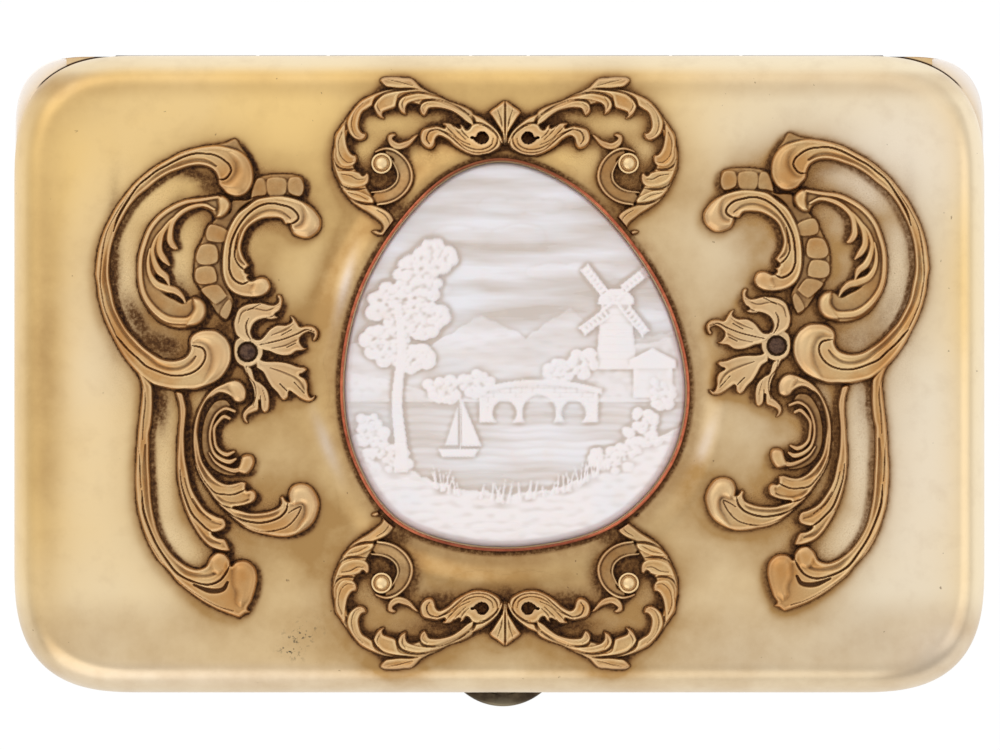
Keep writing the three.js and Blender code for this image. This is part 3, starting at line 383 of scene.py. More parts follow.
def lid_finish(looks):
    f = Finish("worn_gilt")
    cloud = f.noise(0.05, 3, 0.5)
    warm = f.math("ADD", f.value("warm"), f.fit(cloud, 0.35, 0.65, -0.12, 0.12), clamp=True)
    f.start(warm, looks.pale_gilt, looks.warm_gilt)
    # paler rolled edge: worn gilding and a painted highlight
    f.coat(f.times(f.value("edge"), 0.7), looks.edge)
    # painted highlights: streaks of reflected light on the boss's slope and pale patches on the rolled edge
    f.coat(f.value("painted_highlight"), rgb(250, 240, 228))
    f.coat(f.fit(f.noise(0.35, 5, 0.6), 0.5, 0.8, 0, 0.14), looks.tarnish)
    # dirt round the mounts, with a painted shadow on their front side and painted shade in a few spots
    f.coat(f.times(f.value("dirt_and_shadow"), f.fit(f.noise(0.22, 5, 0.6), 0.3, 0.7, 0.7, 1.15)), looks.dirt_and_shadow)
    # grime round the mounts and the plaque, partly painted shade
    grime_and_shade = f.value("grime_and_shade")
    f.coat(f.times(grime_and_shade, f.fit(f.noise(0.9, 5, 0.65), 0.3, 0.7, 0.65, 1.25)), looks.tarnish)
    stipple = f.fit(f.noise(5.5, 3, 0.6), 0.47, 0.62, 0.25, 1.0)
    ground = f.value("ground")
    f.coat(f.times(ground, f.fit(stipple, 0, 1, 0.06, 0.5)), looks.ground)
    # painted shade, nearly black, at the castings' foot, and a painted shadow beside them
    deep = f.times(f.value("crevice_shade"), f.fit(f.noise(2.4, 5, 0.65), 0.32, 0.66, 0.6, 1.15))
    f.coat(f.times(deep, 1.5), rgb(122, 84, 48))
    f.coat(f.fit(deep, 0.4, 0.95), looks.grime_and_shade)
    f.coat(f.times(f.value("specks"), f.fit(f.noise(1.9, 5, 0.7), 0.57, 0.62)), rgb(88, 82, 66))
    f.coat(f.fit(f.noise(1.3, 2, 0.5), 0.76, 0.79, 0, 0.6), rgb(105, 80, 55))
    rough = f.fit(cloud, 0.3, 0.7, looks.gilt_roughness - 0.05, looks.gilt_roughness + 0.06)
    rough = f.math("ADD", rough, f.times(grime_and_shade, 0.16), clamp=True)
    normal = f.bump(f.noise(0.09, 2, 0.4), 0.5, 0.25)
    normal = f.bump(f.noise(1.6, 3, 0.6, (0.12, 2.2, 1)), 0.01, 0.35, normal)
    normal = f.bump(f.times(stipple, ground), 0.06, 0.8, normal)
    return f.done(Metallic=1.0, Roughness=rough, Normal=normal)


def lid_shadow_line(f):
    """1 on a thin painted shadow line just outside the lid's back corners, on what lies under them"""
    where = f.add("ShaderNodeSeparateXYZ", {"Vector": f.place()})
    total = 0.0
    for along, half in ((f.math("ABSOLUTE", where[0]), LENGTH / 2), (where[1], DEPTH / 2)):
        past = f.math("MAXIMUM", f.math("SUBTRACT", along, half - CORNER), 0.0)
        total = f.math("ADD", f.math("POWER", past, POWER), total)
    out = f.math("SUBTRACT", f.math("POWER", total, 1 / POWER), CORNER + 0.16)
    line = f.fit(f.math("ABSOLUTE", out), 0.15, 0.05)
    behind = f.fit(where[1], 32.3, 33.1)
    return f.times(f.times(line, behind), f.math("GREATER_THAN", where[2], PARTING - 2.5))


def gilt_finish(looks, name="plain_gilt", dark=0.0):
    f = Finish(name)
    cloud = f.noise(0.08, 4, 0.55)
    f.start(f.fit(cloud, 0.3, 0.7, 0.35, 0.8), looks.pale_gilt, looks.warm_gilt)
    f.coat(f.fit(f.noise(0.5, 6, 0.6), 0.45, 0.8, 0.04 + dark, 0.24 + dark), looks.tarnish)
    f.coat(f.fit(f.noise(1.3, 3, 0.5), 0.76, 0.79, 0, 0.5), rgb(105, 80, 55))
    # a painted highlight on the base's ledge
    f.coat(f.value("ledge_highlight"), rgb(254, 246, 238))
    # a painted shadow line under the lid's back corners
    f.coat(lid_shadow_line(f), looks.grime_and_shade)
    rough = f.fit(cloud, 0.3, 0.7, looks.gilt_roughness - 0.04, looks.gilt_roughness + 0.07)
    normal = f.bump(f.noise(1.4, 3, 0.6, (0.15, 2, 1)), 0.01, 0.4)
    return f.done(Metallic=1.0, Roughness=rough, Normal=normal)


def cast_finish(looks):
    f = Finish("cast_gilt")
    f.start(f.fit(f.noise(0.22, 4, 0.55), 0.38, 0.62), looks.cast_gilt, looks.cast_pale)
    grit = f.noise(6.0, 3, 0.6)
    f.coat(f.fit(grit, 0.35, 0.7, 0, 0.22), rgb(150, 112, 68))
    # paler ridges: worn gilding with a painted highlight
    f.coat(f.value("worn"), looks.cast_bright)
    f.coat(f.times(f.value("shade"), 0.5), rgb(176, 116, 66))
    f.coat(f.value("rubbed"), rgb(228, 198, 154))
    f.coat(f.value("amber"), rgb(180, 122, 60))
    # painted shade on the castings' lower parts
    f.coat(f.times(f.value("low"), f.fit(f.noise(1.8, 4, 0.6), 0.3, 0.7, 0.7, 1.2)), rgb(140, 104, 66))
    # grime and painted shade in the grooves and at the castings' foot
    grime_and_shade = f.times(f.value("grime_and_shade"), f.fit(f.noise(3.0, 4, 0.6), 0.3, 0.7, 0.85, 1.15))
    f.coat(f.times(grime_and_shade, 0.85), rgb(82, 52, 34))
    rough = f.math("ADD", looks.cast_roughness, f.times(grime_and_shade, 0.25))
    normal = f.bump(f.noise(1.2, 4, 0.6), 0.06, 0.35, f.bump(grit, 0.02, 0.5))
    return f.done(Metallic=1.0, Roughness=rough, Normal=normal)


def rose_finish(looks):
    f = Finish("rose_gold")
    f.start(f.fit(f.noise(0.5, 4, 0.6), 0.35, 0.65), looks.copper, rgb(214, 124, 88))
    f.coat(f.fit(f.noise(1.6, 5, 0.65), 0.45, 0.7, 0.05, 0.6), rgb(112, 60, 42))
    along = f.add("ShaderNodeSeparateXYZ", {"Vector": f.place()})[1]
    # painted shade: the bezel darker towards its bottom and its top
    f.coat(f.fit(along, -17.2, -19.0, 0, 0.55), rgb(100, 52, 40))
    f.coat(f.fit(along, 19.0, 23.0, 0, 0.75), rgb(112, 68, 44))
    return f.done(Metallic=1.0, Roughness=0.36, Normal=f.bump(f.noise(3, 3, 0.6), 0.02, 0.5))


def pearl_finish(looks):
    f = Finish("carved_pearl")
    streak = f.noise(0.16, 3, 0.5, (0.35, 2.4, 1))
    f.start(f.fit(streak, 0.36, 0.64), looks.nacre_deep, looks.nacre_pale)
    f.coat(f.fit(f.value("relief"), 0.02, 0.3), looks.pearl)
    f.coat(f.value("hollow"), looks.pearl_shade)
    f.coat(f.fit(f.noise(0.12, 2, 0.5), 0.5, 0.7, 0, 0.35), rgb(222, 226, 232))
    f.coat(f.fit(f.noise(0.3, 4, 0.6, (1, 1.8, 1)), 0.56, 0.72, 0, 0.22), rgb(226, 208, 192))
    return f.done(
        Roughness=f.fit(streak, 0.3, 0.7, 0.24, 0.4), Normal=f.bump(f.noise(1.5, 4, 0.6), 0.015, 0.4),
        Coat_Weight=0.25, Coat_Roughness=0.12, Subsurface_Weight=0.08, Subsurface_Scale=0.001,
    )


def oxidised_finish(looks):
    f = Finish("oxidised_silver")
    f.start(f.fit(f.noise(0.5, 5, 0.65), 0.35, 0.65), looks.oxide, rgb(96, 84, 68))
    f.coat(f.value("worn"), rgb(150, 138, 112))
    return f.done(Metallic=1.0, Roughness=0.42, Normal=f.bump(f.noise(2.5, 4, 0.6), 0.03, 0.5))


def steel_finish():
    f = Finish("spring_steel")
    f.start(f.noise(0.6, 4, 0.6), rgb(150, 152, 155), rgb(190, 190, 192))
    return f.done(Metallic=1.0, Roughness=0.32, Normal=f.bump(f.noise(2, 3, 0.5, (0.1, 2, 2)), 0.01, 0.4))


def dark_finish():
    f = Finish("tarnished_rivet")
    f.start(f.fit(f.noise(2.2, 5, 0.7), 0.35, 0.7), rgb(58, 40, 34), rgb(116, 88, 68))
    return f.done(Metallic=0.8, Roughness=0.55, Normal=f.bump(f.noise(2.4, 4, 0.7), 0.12, 1.0))


def elastic_finish(looks, middle, width, ribs):
    f = Finish("ribbed_elastic")
    weave = f.noise(3.2, 3, 0.6, (1, 0.5, 1))
    f.start(f.fit(weave, 0.3, 0.7, 0.2, 0.8), looks.elastic, rgb(206, 178, 122))
    across = f.math("SUBTRACT", f.add("ShaderNodeSeparateXYZ", {"Vector": f.place()})[0], middle)
    wave = f.math("COSINE", f.math("MULTIPLY", across, 2 * math.pi * ribs / width))
    f.coat(f.fit(wave, 0.2, -1, 0, 0.6), rgb(96, 72, 42))
    return f.done(Roughness=0.9, Normal=f.bump(weave, 0.05, 0.8), Sheen_Weight=0.3)


# Cast scroll work, drawn on a grid over the lid


class Casting:
    """A height for each point of a grid, in millimetres over the lid, and ways to model it"""

    FOOT = 0.3
    FLANK = 2.2  # how steeply a shape falls outside its outline
    ROUND, FLAT = 3.0, 8.0  # powers of a stroke's section

    def __init__(self, x0, x1, y0, y1, step, mirror=None):
        self.step, self.mirror = step, mirror
        self.x = np.arange(x0, x1 + step / 2, step)
        self.y = np.arange(y0, y1 + step / 2, step)
        self.h = np.full((len(self.y), len(self.x)), -self.FOOT)

    def near(self, px, py, reach):
        i0, i1 = np.searchsorted(self.x, [px - reach, px + reach])
        j0, j1 = np.searchsorted(self.y, [py - reach, py + reach])
        return slice(j0, j1), slice(i0, i1)

    def spread(self, points):
        """For each grid point, how far across the stroke it lies and the stroke's half-width there"""
        across = np.full(self.h.shape, 9.0)
        width = np.zeros(self.h.shape)
        for px, py, w in smooth_path(points, self.step * 0.8):
            w = max(w, 0.06)
            rows, columns = self.near(px, py, w + 0.5)
            v = np.hypot(self.x[None, columns] - px, self.y[rows, None] - py) / w
            better = v < across[rows, columns]
            across[rows, columns] = np.where(better, v, across[rows, columns])
            width[rows, columns] = np.where(better, w, width[rows, columns])
        return across, width

    def lay(self, across, width, top, power):
        height = np.where(
            across > 1, -self.FLANK * (across - 1) * width, top * (1 - np.minimum(across, 1) ** power) ** 0.5
        )
        self.join(np.where(across > 8, -self.FOOT, np.maximum(height, -self.FOOT)))

    def strand(self, points, top):
        """A rounded stroke of changing width"""
        self.lay(*self.spread(points), top, self.ROUND)

    def seat(self, x, y, r, top):
        """A round seat with a flat top"""
        d = np.hypot(self.x[None, :] - x, self.y[:, None] - y)
        self.lay(np.where(d < r + 0.5, d / r, 9.0), r, top, self.FLAT)

    def within(self, path):
        inside = np.zeros(self.h.shape, bool)
        for (ax, ay), (bx, by) in zip(path, np.roll(path, -1, 0)):
            rows = slice(*np.searchsorted(self.y, sorted((ay, by))))
            if ay != by:
                cross = ax + (self.y[rows] - ay) * (bx - ax) / (by - ay)
                inside[rows] ^= self.x[None, :] < cross[:, None]
        return inside

    def pierce(self, outline):
        """A hole through to the lid"""
        self.h = np.where(self.within(smooth_path(outline, self.step, closed=True)), -self.FOOT, self.h)

    def plate(self, outline, top, edge, soft=0.0, dip=0.0):
        """A filled outline, rounded over its edge and dished inside it"""
        path = smooth_path(outline, self.step, closed=True)
        far = max(edge, 0.8)
        d = np.full(self.h.shape, far)
        for px, py in path:
            rows, columns = self.near(px, py, far)
            r = np.hypot(self.x[None, columns] - px, self.y[rows, None] - py)
            d[rows, columns] = np.minimum(d[rows, columns], r)
        v = 1 - np.clip(d / edge, 0, 1)
        dish = top * (1 - v**2.2) ** 0.5 - dip * smoothstep(d, 0.22, 0.6)
        height = np.where(self.within(path), dish, np.where(d < far, -self.FLANK * d, -self.FOOT))
        self.join(np.maximum(height, -self.FOOT), soft)

    def join(self, height, soft=0.0):
        """Adds a shape; soft, it runs into what it meets"""
        higher = np.maximum(self.h, height)
        if soft:
            share = np.clip(0.5 + 0.5 * (height - self.h) / soft, 0, 1)
            blended = self.h * (1 - share) + height * share + soft * share * (1 - share)
            higher = np.where(np.minimum(height, self.h) > 0, blended, higher)
        self.h = higher

    def groove(self, points, half, deep, soft=False):
        """A cut of even width that runs out at its ends; a soft one has no raised lips"""
        p = np.array(points, float)
        run = np.concatenate([[0], np.cumsum(np.hypot(*np.diff(p, axis=0).T))])
        fade = np.clip(np.minimum(run, run[-1] - run) / (6 * half) + 0.45, 0, 1)
        across, _ = self.spread(np.column_stack([p, half * fade]))
        v = np.clip(across, 0, 1)
        lips = 0.12 * np.exp(-(((across - 2.2) / 0.8) ** 2))
        shape = (1 - v**2) ** 2 if soft else 0.7 * (1 - v**2) ** 0.8 - lips
        self.h -= deep * shape * (self.h > 0.2)

    def sides(self, steps, units=(10, 10)):
        """Traced points and, in a casting with two like halves, their mirror image"""
        points = traced(steps, units)
        yield points
        if self.mirror is not None:
            yield np.column_stack([2 * self.mirror - points[:, 0], points[:, 1:]])

    def plates(self, shapes, **how):
        for top, edge, outline in shapes:
            for side in self.sides(outline):
                self.plate(side, top, edge, **how)

    def strands(self, strokes, units):
        for top, points in strokes:
            for side in self.sides(points, units):
                self.strand(side, top)

    def grooves(self, cuts, share=1.0, soft=False):
        for half, deep, points in cuts:
            for side in self.sides(points):
                self.groove(side, half, share * deep, soft)

    def sink(self, points, deep):
        """A steep hollow, down to the lid where it is deep"""
        across, _ = self.spread(points)
        self.h -= deep * (1 - np.clip(across, 0, 1) ** 2) ** 0.25 * (self.h > -self.FOOT + 0.01)


# The left mount: filled shapes as (top, rounding, outline), strokes as (top, points with half-widths) and
# cuts as (half-width, depth, points), in millimetres. Outlines and points are traced: a start and then steps,
# in tenths of a millimetre, or in these parts of one where a point has its half-width with it.
STROKE_UNITS = (10, 10, 100)
RIM_UNITS = (100, 100, 100)
SIDE_PLATES = [
    (0.5, 0.3, [-320, 259, 11, 3, 11, 4, 7, -10, 7, -10, -15, 4]),
    (0.36, 0.25, [-302, 196, 21, 3, 6, 22, 52, 2, 3, -10, -1, -8, -4, -5, -19, 2, -28, -4, -18, -9, -11, -15,
     -8, -15, -4, -19, -1, -18, 4, -19, 7, -13, 3, -10, -9, -20, -9, 7, -11, 16, -9, 13, -7, 11, 0, 13, 2, 20,
     5, 8, 5, 11, 8, 12, 5, 5, 15, 7]),
    (0.64, 0.3, [-238, 222, 13, 1, 5, -10, -1, -8, -4, -5, -14, 5]),
    (0.62, 0.3, [-263, 221, 22, 0, 1, -15, -4, -5, -17, 0]),
    (0.6, 0.3, [-275, 221, 9, 1, 3, -20, -10, -2, -8, -1]),
    (0.62, 0.3, [-327, 170, 21, -8, -4, -13, -10, -1, -11, 3, -2, 8]),
    (0.66, 0.3, [-337, 147, 17, -1, 2, -20, -20, -3, -6, 6, 2, 11]),
    (0.66, 0.3, [-343, 120, 20, 2, 5, -15, -2, -4, -20, -2, -5, 6]),
    (0.6, 0.3, [-338, 96, 20, 6, 11, -12, 1, -1, -14, -11, -8, 5]),
    (0.58, 0.3, [-305, 86, 4, -7, -7, -18, -9, 6, 3, 9]),
    (0.6, 0.4, [-322, 176, 8, 0, 7, 5, 4, 8, 0, 5, -4, 6, -5, 3, -8, 0, -9, -2, -11, -1, -11, -2, -11, -4, -11,
     -5, -10, -7, -7, -8, -7, -11, -6, -12, -4, -11, -2, -13, -1, -14, 2, -13, 2, -10, 5, -10, 6, -11, 9, -9, 9,
     -5, 9, -3, 9, -1, 12, 2, 9, 3, 6, 7, 2, 7, -1, 8, -4, 6, -5, 3, -7, 0, -6, -3, -4, -3, -9, 4, -11, 6, -8,
     10, -3, 13, 2, 13, 3, 13, 6, 11, 4, 10, 3, 9, 8, 7, 9, 6, 9, 4, 9, 0, 8, -3, 4, -5]),
    (0.28, 0.3, [-307, -30, -13, 0, -11, -14, -5, -17, -1, -17, 2, -13, 9, -15, 15, -8, 14, 0, -3, 6, -15, 8,
     -9, 13, 0, 15, 2, 13, 5, 11, 14, 7]),
]
SIDE_BANDS = [
    (1.1, 0.42, [-455, 100, 1, -11, 3, -13, 4, -13, 5, -12, 6, -12, 7, -13, 9, -13, 10, -11, 9, -8, 11, -7, 11,
     -3, 13, -2, 11, 0, 11, 0, 11, 3, 10, 4, 9, 6, 7, 9, 4, 9, 1, 9, -1, 9, -4, 9, -5, 5, -8, 5, -9, 1, -9, -1,
     -8, -4, -4, -5, -1, -6, 1, -6, -4, -8, -8, -4, -10, -1, -9, 2, -9, 5, -11, 8, -9, 9, -10, 11, -7, 12, -6,
     13, -3, 13, -4, 22, 0, 15, 2, 16, 5, 17, 7, 15, 8, 14, 9, 11, 12, 10, 11, 9, 13, 8, 11, 4, 13, 4, 11, 1, 9,
     -2, 7, -5, 3, -7, 1, -7, 5, -6, 5, -5, 8, -3, 7, 0, 7, 3, 5, 6, 3, 7, 1, 10, -2, 10, -5, 9, -8, 7, -11, 4,
     -15, 3, -15, -1, -14, -3, -15, -5, -11, -6, -13, -7, -15, -11, -13, -12, -9, -11, -10, -13, -7, -13, -7,
     -14, -6, -19, -3, -18, -1, -15]),
    (1, 0.4, [-237, 169, 3, -10, 9, -5, 9, -1, 8, 4, 6, 7, 1, 10, -5, 9, -7, 7, -10, 6, -12, 4, -12, 2, -15, -1,
     -13, -3, -11, -8, -11, -9, -8, -13, -5, -13, -3, -15, -1, -14, 1, -15, 4, -11, 6, -7, 9, -5, 13, -2, 11, 1,
     8, 4, 4, 7, -1, 5, -3, 5, -6, 2, -6, -1, -6, -3, -4, 3, 2, 3, -5, 4, 2, 3, 3, 4, -2, 3, -4, 6, -3, 10, 2,
     11, 5, 11, 9, 7, 9, 4, 9, 1, 10, -1, 5, -6]),
    (0.95, 0.36, [-366, -20, 8, -1, 3, -9, 2, -11, -1, -13, -1, -13, 0, -13, 1, -15, 3, -16, 4, -17, 8, -15, 9,
     -11, 11, -6, 8, -3, 3, -7, -3, -6, -7, -3, -6, -1, 5, -4, 9, -2, 4, -7, 2, -7, -6, -1, -9, 2, -9, 4, -9, 9,
     -8, 12, -7, 13, -5, 12, -4, 15, -3, 17, -1, 18, 1, 19, 1, 17, 1, 15, -1, 15]),
    (1, 0.4, [-410, 4, 3, -8, 3, -11, -1, -15, -2, -18, -2, -19, -1, -13, -1, -19, -1, -18, 1, -19, 2, -18, 5,
     -19, 7, -18, 11, -19, 12, -13, 9, -11, 13, -11, 15, -11, 18, -10, 15, -6, 11, -3, 6, 4, 6, 2, -3, 4, 4, 7,
     3, 8, 3, 11, 1, 11, -3, 10, -8, 7, -9, 1, -6, -2, -4, -4, -1, 6, -6, 7, -9, 2, -7, -5, -3, -5, -3, -6, -9,
     -3, -11, 3, -13, 9, -11, 13, -9, 17, -5, 18, -3, 21, -1, 22, -1, 18, 0, 19, 0, 13, 2, 8, 2, 18, 0, 15, -1,
     13, -5, 7, -6, 6]),
    (0.95, 0.36, [-305, -7, -7, -3, -10, -5, -8, -7, -7, -11, -6, -13, -3, -13, -1, -15, 1, -13, 2, -15, 6, -15,
     8, -13, 9, -13, 10, -11, 11, -10, 11, -9, 13, -6, 13, -3, 11, -2, 15, 0, 14, 5, 12, 9, 6, 12, 2, 13, -4,
     11, -8, 9, -11, 2, -9, -4, -4, -9, 1, -8, -2, 1, -4, 5, -4, -1, 1, -6, -2, -5, -9, -4, -11, -2, -13, 0,
     -11, 3, -7, 2, 7, 1, 9, 2, 8, 4, 2, 7, -2, 5, -5, 2, -4, -1, -1, 2, 0, 7, -6, 1, -7, -2, -9, -1, -9, 4, -9,
     9, -8, 11, -3, 9, -2, 11, -1, 13, 2, 15, 3, 11, 5, 10, 7, 5, 7, 4, 7, -1, 6, -4, 3, -4, 6, -2, 7, 3, 2, 7,
     -1, 7, -5, 7, -7, 3]),
]
SIDE_HEADS = [
    (1.45, 1.3, [-317, 217, 4, -9, 5, -5, 8, -3, 7, 0, 7, 3, 5, 6, 3, 7, 1, 10, -2, 10, -5, 9, -8, 7, -9, 2, -8,
     -2, 4, -7, 5, -8, 0, -8, -5, -8, -5, -3]),
    (1.5, 1.4, [-347, 34, -3, 4, 4, 8, 8, 4, 9, 1, 9, -1, 8, -5, 5, -5, 4, -9, 1, -9, -1, -9, -4, -9, -7, -9,
     -9, -6, -10, -4, -7, -1, 5, 12, 6, 13, 1, 13, -4, 9, -6, 3]),
    (1.15, 0.7, [-321, 177, 7, -1, 7, 5, 4, 8, 0, 5, -4, 6, -6, 3, -6, -2, -1, -5, 1, -7, -1, -6]),
    (1.2, 0.8, [-347, 53, 9, 3, 6, 7, 2, 7, -1, 8, -4, 6, -5, 3, -7, 0, -1, -6, 1, -7, -4, -7, -4, -7, 0, -6]),
    (1.4, 1.2, [-237, 169, 3, -10, 9, -5, 9, -1, 8, 4, 6, 7, 1, 10, -5, 9, -7, 7, -9, 5, -5, -2, 3, -8, 1, -9,
     -3, -6, -6, -2]),
    (1.15, 0.8, [-280, 106, 6, 3, 7, 1, 6, -3, 3, -7, -2, -8, -6, -4, -7, -2, -8, 2, -3, 5, 3, 7]),
    (1.2, 0.9, [-305, -7, 7, 1, 7, -3, 5, -7, 1, -7, -2, -7, -7, -3, -6, 2, -3, 4, -3, 7, -3, 7]),
    (1.4, 1.2, [-239, -136, 4, 9, 9, 4, 11, -2, 8, -9, 4, -11, -2, -13, -6, -12, -12, -9, -11, -2, 6, 12, 6, 11,
     -1, 9, -9, -1, -5, 3]),
    (1.05, 0.5, [-285, -132, 4, 2, 5, -2, 2, -5, -2, -7, -6, -2, -3, 5, 1, 5]),
    (1.15, 0.8, [-329, -211, 3, 5, 7, 5, 9, -1, 5, -6, -1, -9, -4, -8, -9, -3, -7, 5]),
    (1.35, 1.3, [-304, -226, 1, 8, 4, 6, 6, 2, 9, -1, 8, -7, 3, -10, -1, -11, -3, -11, -6, -10, -10, -5, -7, 7,
     0, 11, -4, 10]),
    (1, 0.6, [-294, -99, 2, 6, 7, 3, 7, -2, 2, -7, -3, -9, -6, -6, -8, 1, -5, 3, 3, 8]),
]
SIDE_STRANDS = [
    (1, [-318, 200, 25, -18, -3, 5, -19, -3, 4, -17, -8, 2, -13, -10, 0, -10, -13, 0, -6, -15, 0, -4, -15, 0,
     -1, -15, 2, 1, -15, 2, 3, -12, 2, 6, -11, 4, 10, -11, 4, 11, -7, 4, 13, -2, 0, 11, 1, -2, 6, 6, -12]),
    (0.95, [-322, 186, 20, -11, 5, 8, -14, -2, 8, -13, -7, 2, -9, -10, 2, -3, -11, 4, 0, -10, 6, 4, -7, -8, 4,
     -2, -27]),
    (0.9, [-355, 184, 12, -15, -10, 18, -10, -13, 10, -4, -11, 8, 0, -11, 4, 5, -9, -4, 6, -7, -30]),
    (0.88, [-379, 166, 10, -9, -13, 18, -4, -13, 8, 2, -13, 10, 5, -10, 8, 8, -7, -8, 4, -9, -31]),
    (0.88, [-395, 142, 10, -2, -15, 20, 2, -14, 10, 7, -11, 12, 11, -5, 4, 11, -3, -6, 8, -7, -18, 3, -6, -17]),
    (0.8, [-305, -50, 26, -6, 2, 4, -6, -5, -4, -5, -8, -2, 0, -11, 0, 2, -10, 2, 5, -6, 4, 7, -3, 4, 8, 3,
     -14]),
    (0.8, [-299, -42, 24, -10, 3, 2, -9, -5, -4, -6, -10, 0, -3, -13, 0, 1, -13, 2, 4, -10, 4, 9, -7, 6, 9, -2,
     2, 6, 3, -14]),
    (0.8, [-328, -89, 12, 7, -10, 10, 11, -7, 8, 11, -3, 6, 10, 3, 9]),
]
SIDE_GROOVES = [
    (0.1, 0.5, [-318, 220, 7, 0, 5, 4, 3, 6, -2, 6, -4, 4, -7, 5, -8, 3, -9, 1, -11, 0, -11, -3, -11, -5, -11,
     -6, -11, -6, -9, -7, -10, -8, -9, -12, -8, -12, -7, -13, -5, -16]),
    (0.07, 0.28, [-351, 251, -15, -4, -15, -8, -13, -11, -11, -9, -11, -12, -10, -15, -10, -16, -8, -17, -4,
     -19, -2, -18, -1, -19, 2, -14, 3, -15, 6, -15, 7, -15]),
    (0.1, 0.5, [-433, 43, 7, -8, 7, -8, 9, -8, 11, -10, 11, -5, 11, -4, 11, -2, 11, 1, 9, 3, 8, 6, 5, 8, 1, 7,
     -3, 6, -5, 2, -7, 1]),
    (0.11, 0.48, [-240, 169, 8, 2, 5, 5, -2, 6, -7, 6, -10, 3, -11, 2, -11, -2, -11, -6, -11, -11, -8, -13, -5,
     -13, -2, -15, 0, -15, 5, -11, 10, -5, 9, 4]),
    (0.09, 0.4, [-295, 159, -3, -15, -1, -11, 4, -9, 7, -6, 4, 1]),
    (0.09, 0.4, [-343, -100, 6, -15, 8, -11, 8, -8, 10, -2, 11, 0, 8, 3, 6, 3]),
    (0.09, 0.4, [-341, -113, 7, -15, 11, -13, 12, -8, 11, -3]),
    (0.11, 0.45, [-311, -154, 11, -7, 14, -5, 15, -2, 13, 2, 11, 5, 6, 7, 2, 8]),
    (0.08, 0.3, [-300, -166, 18, -8, 15, -4, 13, 1, 13, 4, 9, 8, 6, 9, 2, 6, -8, -3, -6, -4]),
    (0.1, 0.42, [-361, -108, 2, -18, 6, -19, 6, -13, 10, -11, 8, -7, 10, -5]),
    (0.06, 0.25, [-356, -117, 4, -15, 6, -13, 9, -11, 11, -9]),
    (0.11, 0.5, [-404, -132, 2, -22, 6, -19, 9, -20, 11, -17, 11, -14, 15, -9, 20, -5, 13, 4, 8, 9, 4, 8]),
    (0.07, 0.28, [-410, -143, 8, -33, 13, -24, 20, -28, 24, -19, 26, -15, 19, -6]),
    (0.07, 0.28, [-410, -69, 3, -22, 1, -19, 1, -18]),
    (0.07, 0.25, [-406, -4, 5, -15, 1, -14, -2, -19, -1, -22]),
]
SIDE_HOLLOWS = [
    (0.36, 0.2, [-320, 235, -9, 5, -11, 2, -15, -3, -15, -6, -15, -8, -12, -11, -13, -11, -12, -13, -9, -16, -7,
     -19, -5, -18, -3, -19, 0, -15, 2, -10, 3, -13, 5, -13, 7, -13, 9, -13, 11, -12, 12, -10, 12, -9, 13, -4,
     13, 1, 10, 6, 6, 7]),
    (0.3, 0.16, [-236, 176, -10, 7, -13, 2, -13, -4, -12, -9, -9, -13, -4, -15, 2, -13, 7, -7]),
    (0.3, 0.16, [-319, -149, 15, -9, 18, -3, 19, 0, 15, 4, 7, 8]),
    (0.3, 0.14, [-347, -141, 11, -17, 12, -9, 9, -3]),
    (0.3, 0.14, [-350, -160, 11, -16, 11, -11, 13, -5]),
    (0.38, 0.18, [-400, -80, -1, -28, 2, -24, 3, -22, 6, -20, 10, -21, 13, -16, 13, -13, 17, -4, 14, 2, 8, 7]),
    (0.4, 0.42, [-345, -238, 19, -7, 14, 2, 5, 8]),
    (0.26, 0.14, [-326, -26, -8, -11, -5, -13, -3, -17, 0, -20, 5, -17, 9, -15, 13, -7, 15, -1, 9, 3]),
    (0.24, 0.12, [-334, -121, 13, -16, 15, -8, 15, 0, 9, 4]),
]
FLOWER = [
    (0.8, 0.3, [-298, 39, 10, 4, 11, -2, 8, -7, 3, -9, -3, -9, -10, -8, -11, 0, -8, 6, -3, 12]),
    (0.88, 0.3, [-292, 39, -6, 5, -3, 12, 2, 9, 4, 9, 8, 5, 10, 2, 10, 0, 7, -2, 7, 0, 3, 4, -2, 6, 4, 1, 3, -4,
     0, -8, -3, -7, -5, -4, 4, -3, -7, -3, -8, 1, -8, -2, -5, -4, -3, -8, 2, -9, -5, -4]),
    (0.88, 0.3, [-278, 39, 8, 1, 5, 5, 5, 6, 9, 5, 10, 0, 6, 4, -2, 6, 5, -2, 5, -7, 2, -3, 7, 1, 8, -1, 5, -5,
     0, -6, -4, -6, -3, 2, 2, 5, -4, 3, -7, -3, -4, -6, 4, -7, 4, -2, -5, -3, -7, -1, -6, -4, -9, -1, -9, 2, -7,
     3, -5, 1, -8, 4]),
    (0.88, 0.3, [-273, 19, 6, -3, 7, -1, 9, 0, 13, -2, 11, -4, 7, -1, 3, -3, -5, -5, -3, -1, 6, -4, 3, -7, 0,
     -8, 3, -6, 5, 2, -3, -6, -7, -1, -7, 3, -7, 5, -5, 3, -1, -6, -5, -4, -4, 2, -5, 7, -6, 6, -5, 8, -5, 9,
     -7, 5]),
    (0.88, 0.3, [-280, 7, 5, -13, 5, -3, 8, -8, 3, -11, -2, -14, -4, -2, -4, 3, -2, 11, -1, -11, -6, -3, -6, -3,
     -1, -3, 2, -6, -5, 2, -3, 6, 1, 5, 5, 6, 6, 5, 2, 8, -3, 11, -4, 9, -4, 8, -3, 7]),
]
FLOWER_HOLES = [
    [-274, 46, 50, 6, 7, -13, 9, 5, -22],
    [-262, 20, 46, 6, -1, -16, 6, -1, -19],
    [-274, 2, 43, 5, -6, -12, 7, -8, -18],
]
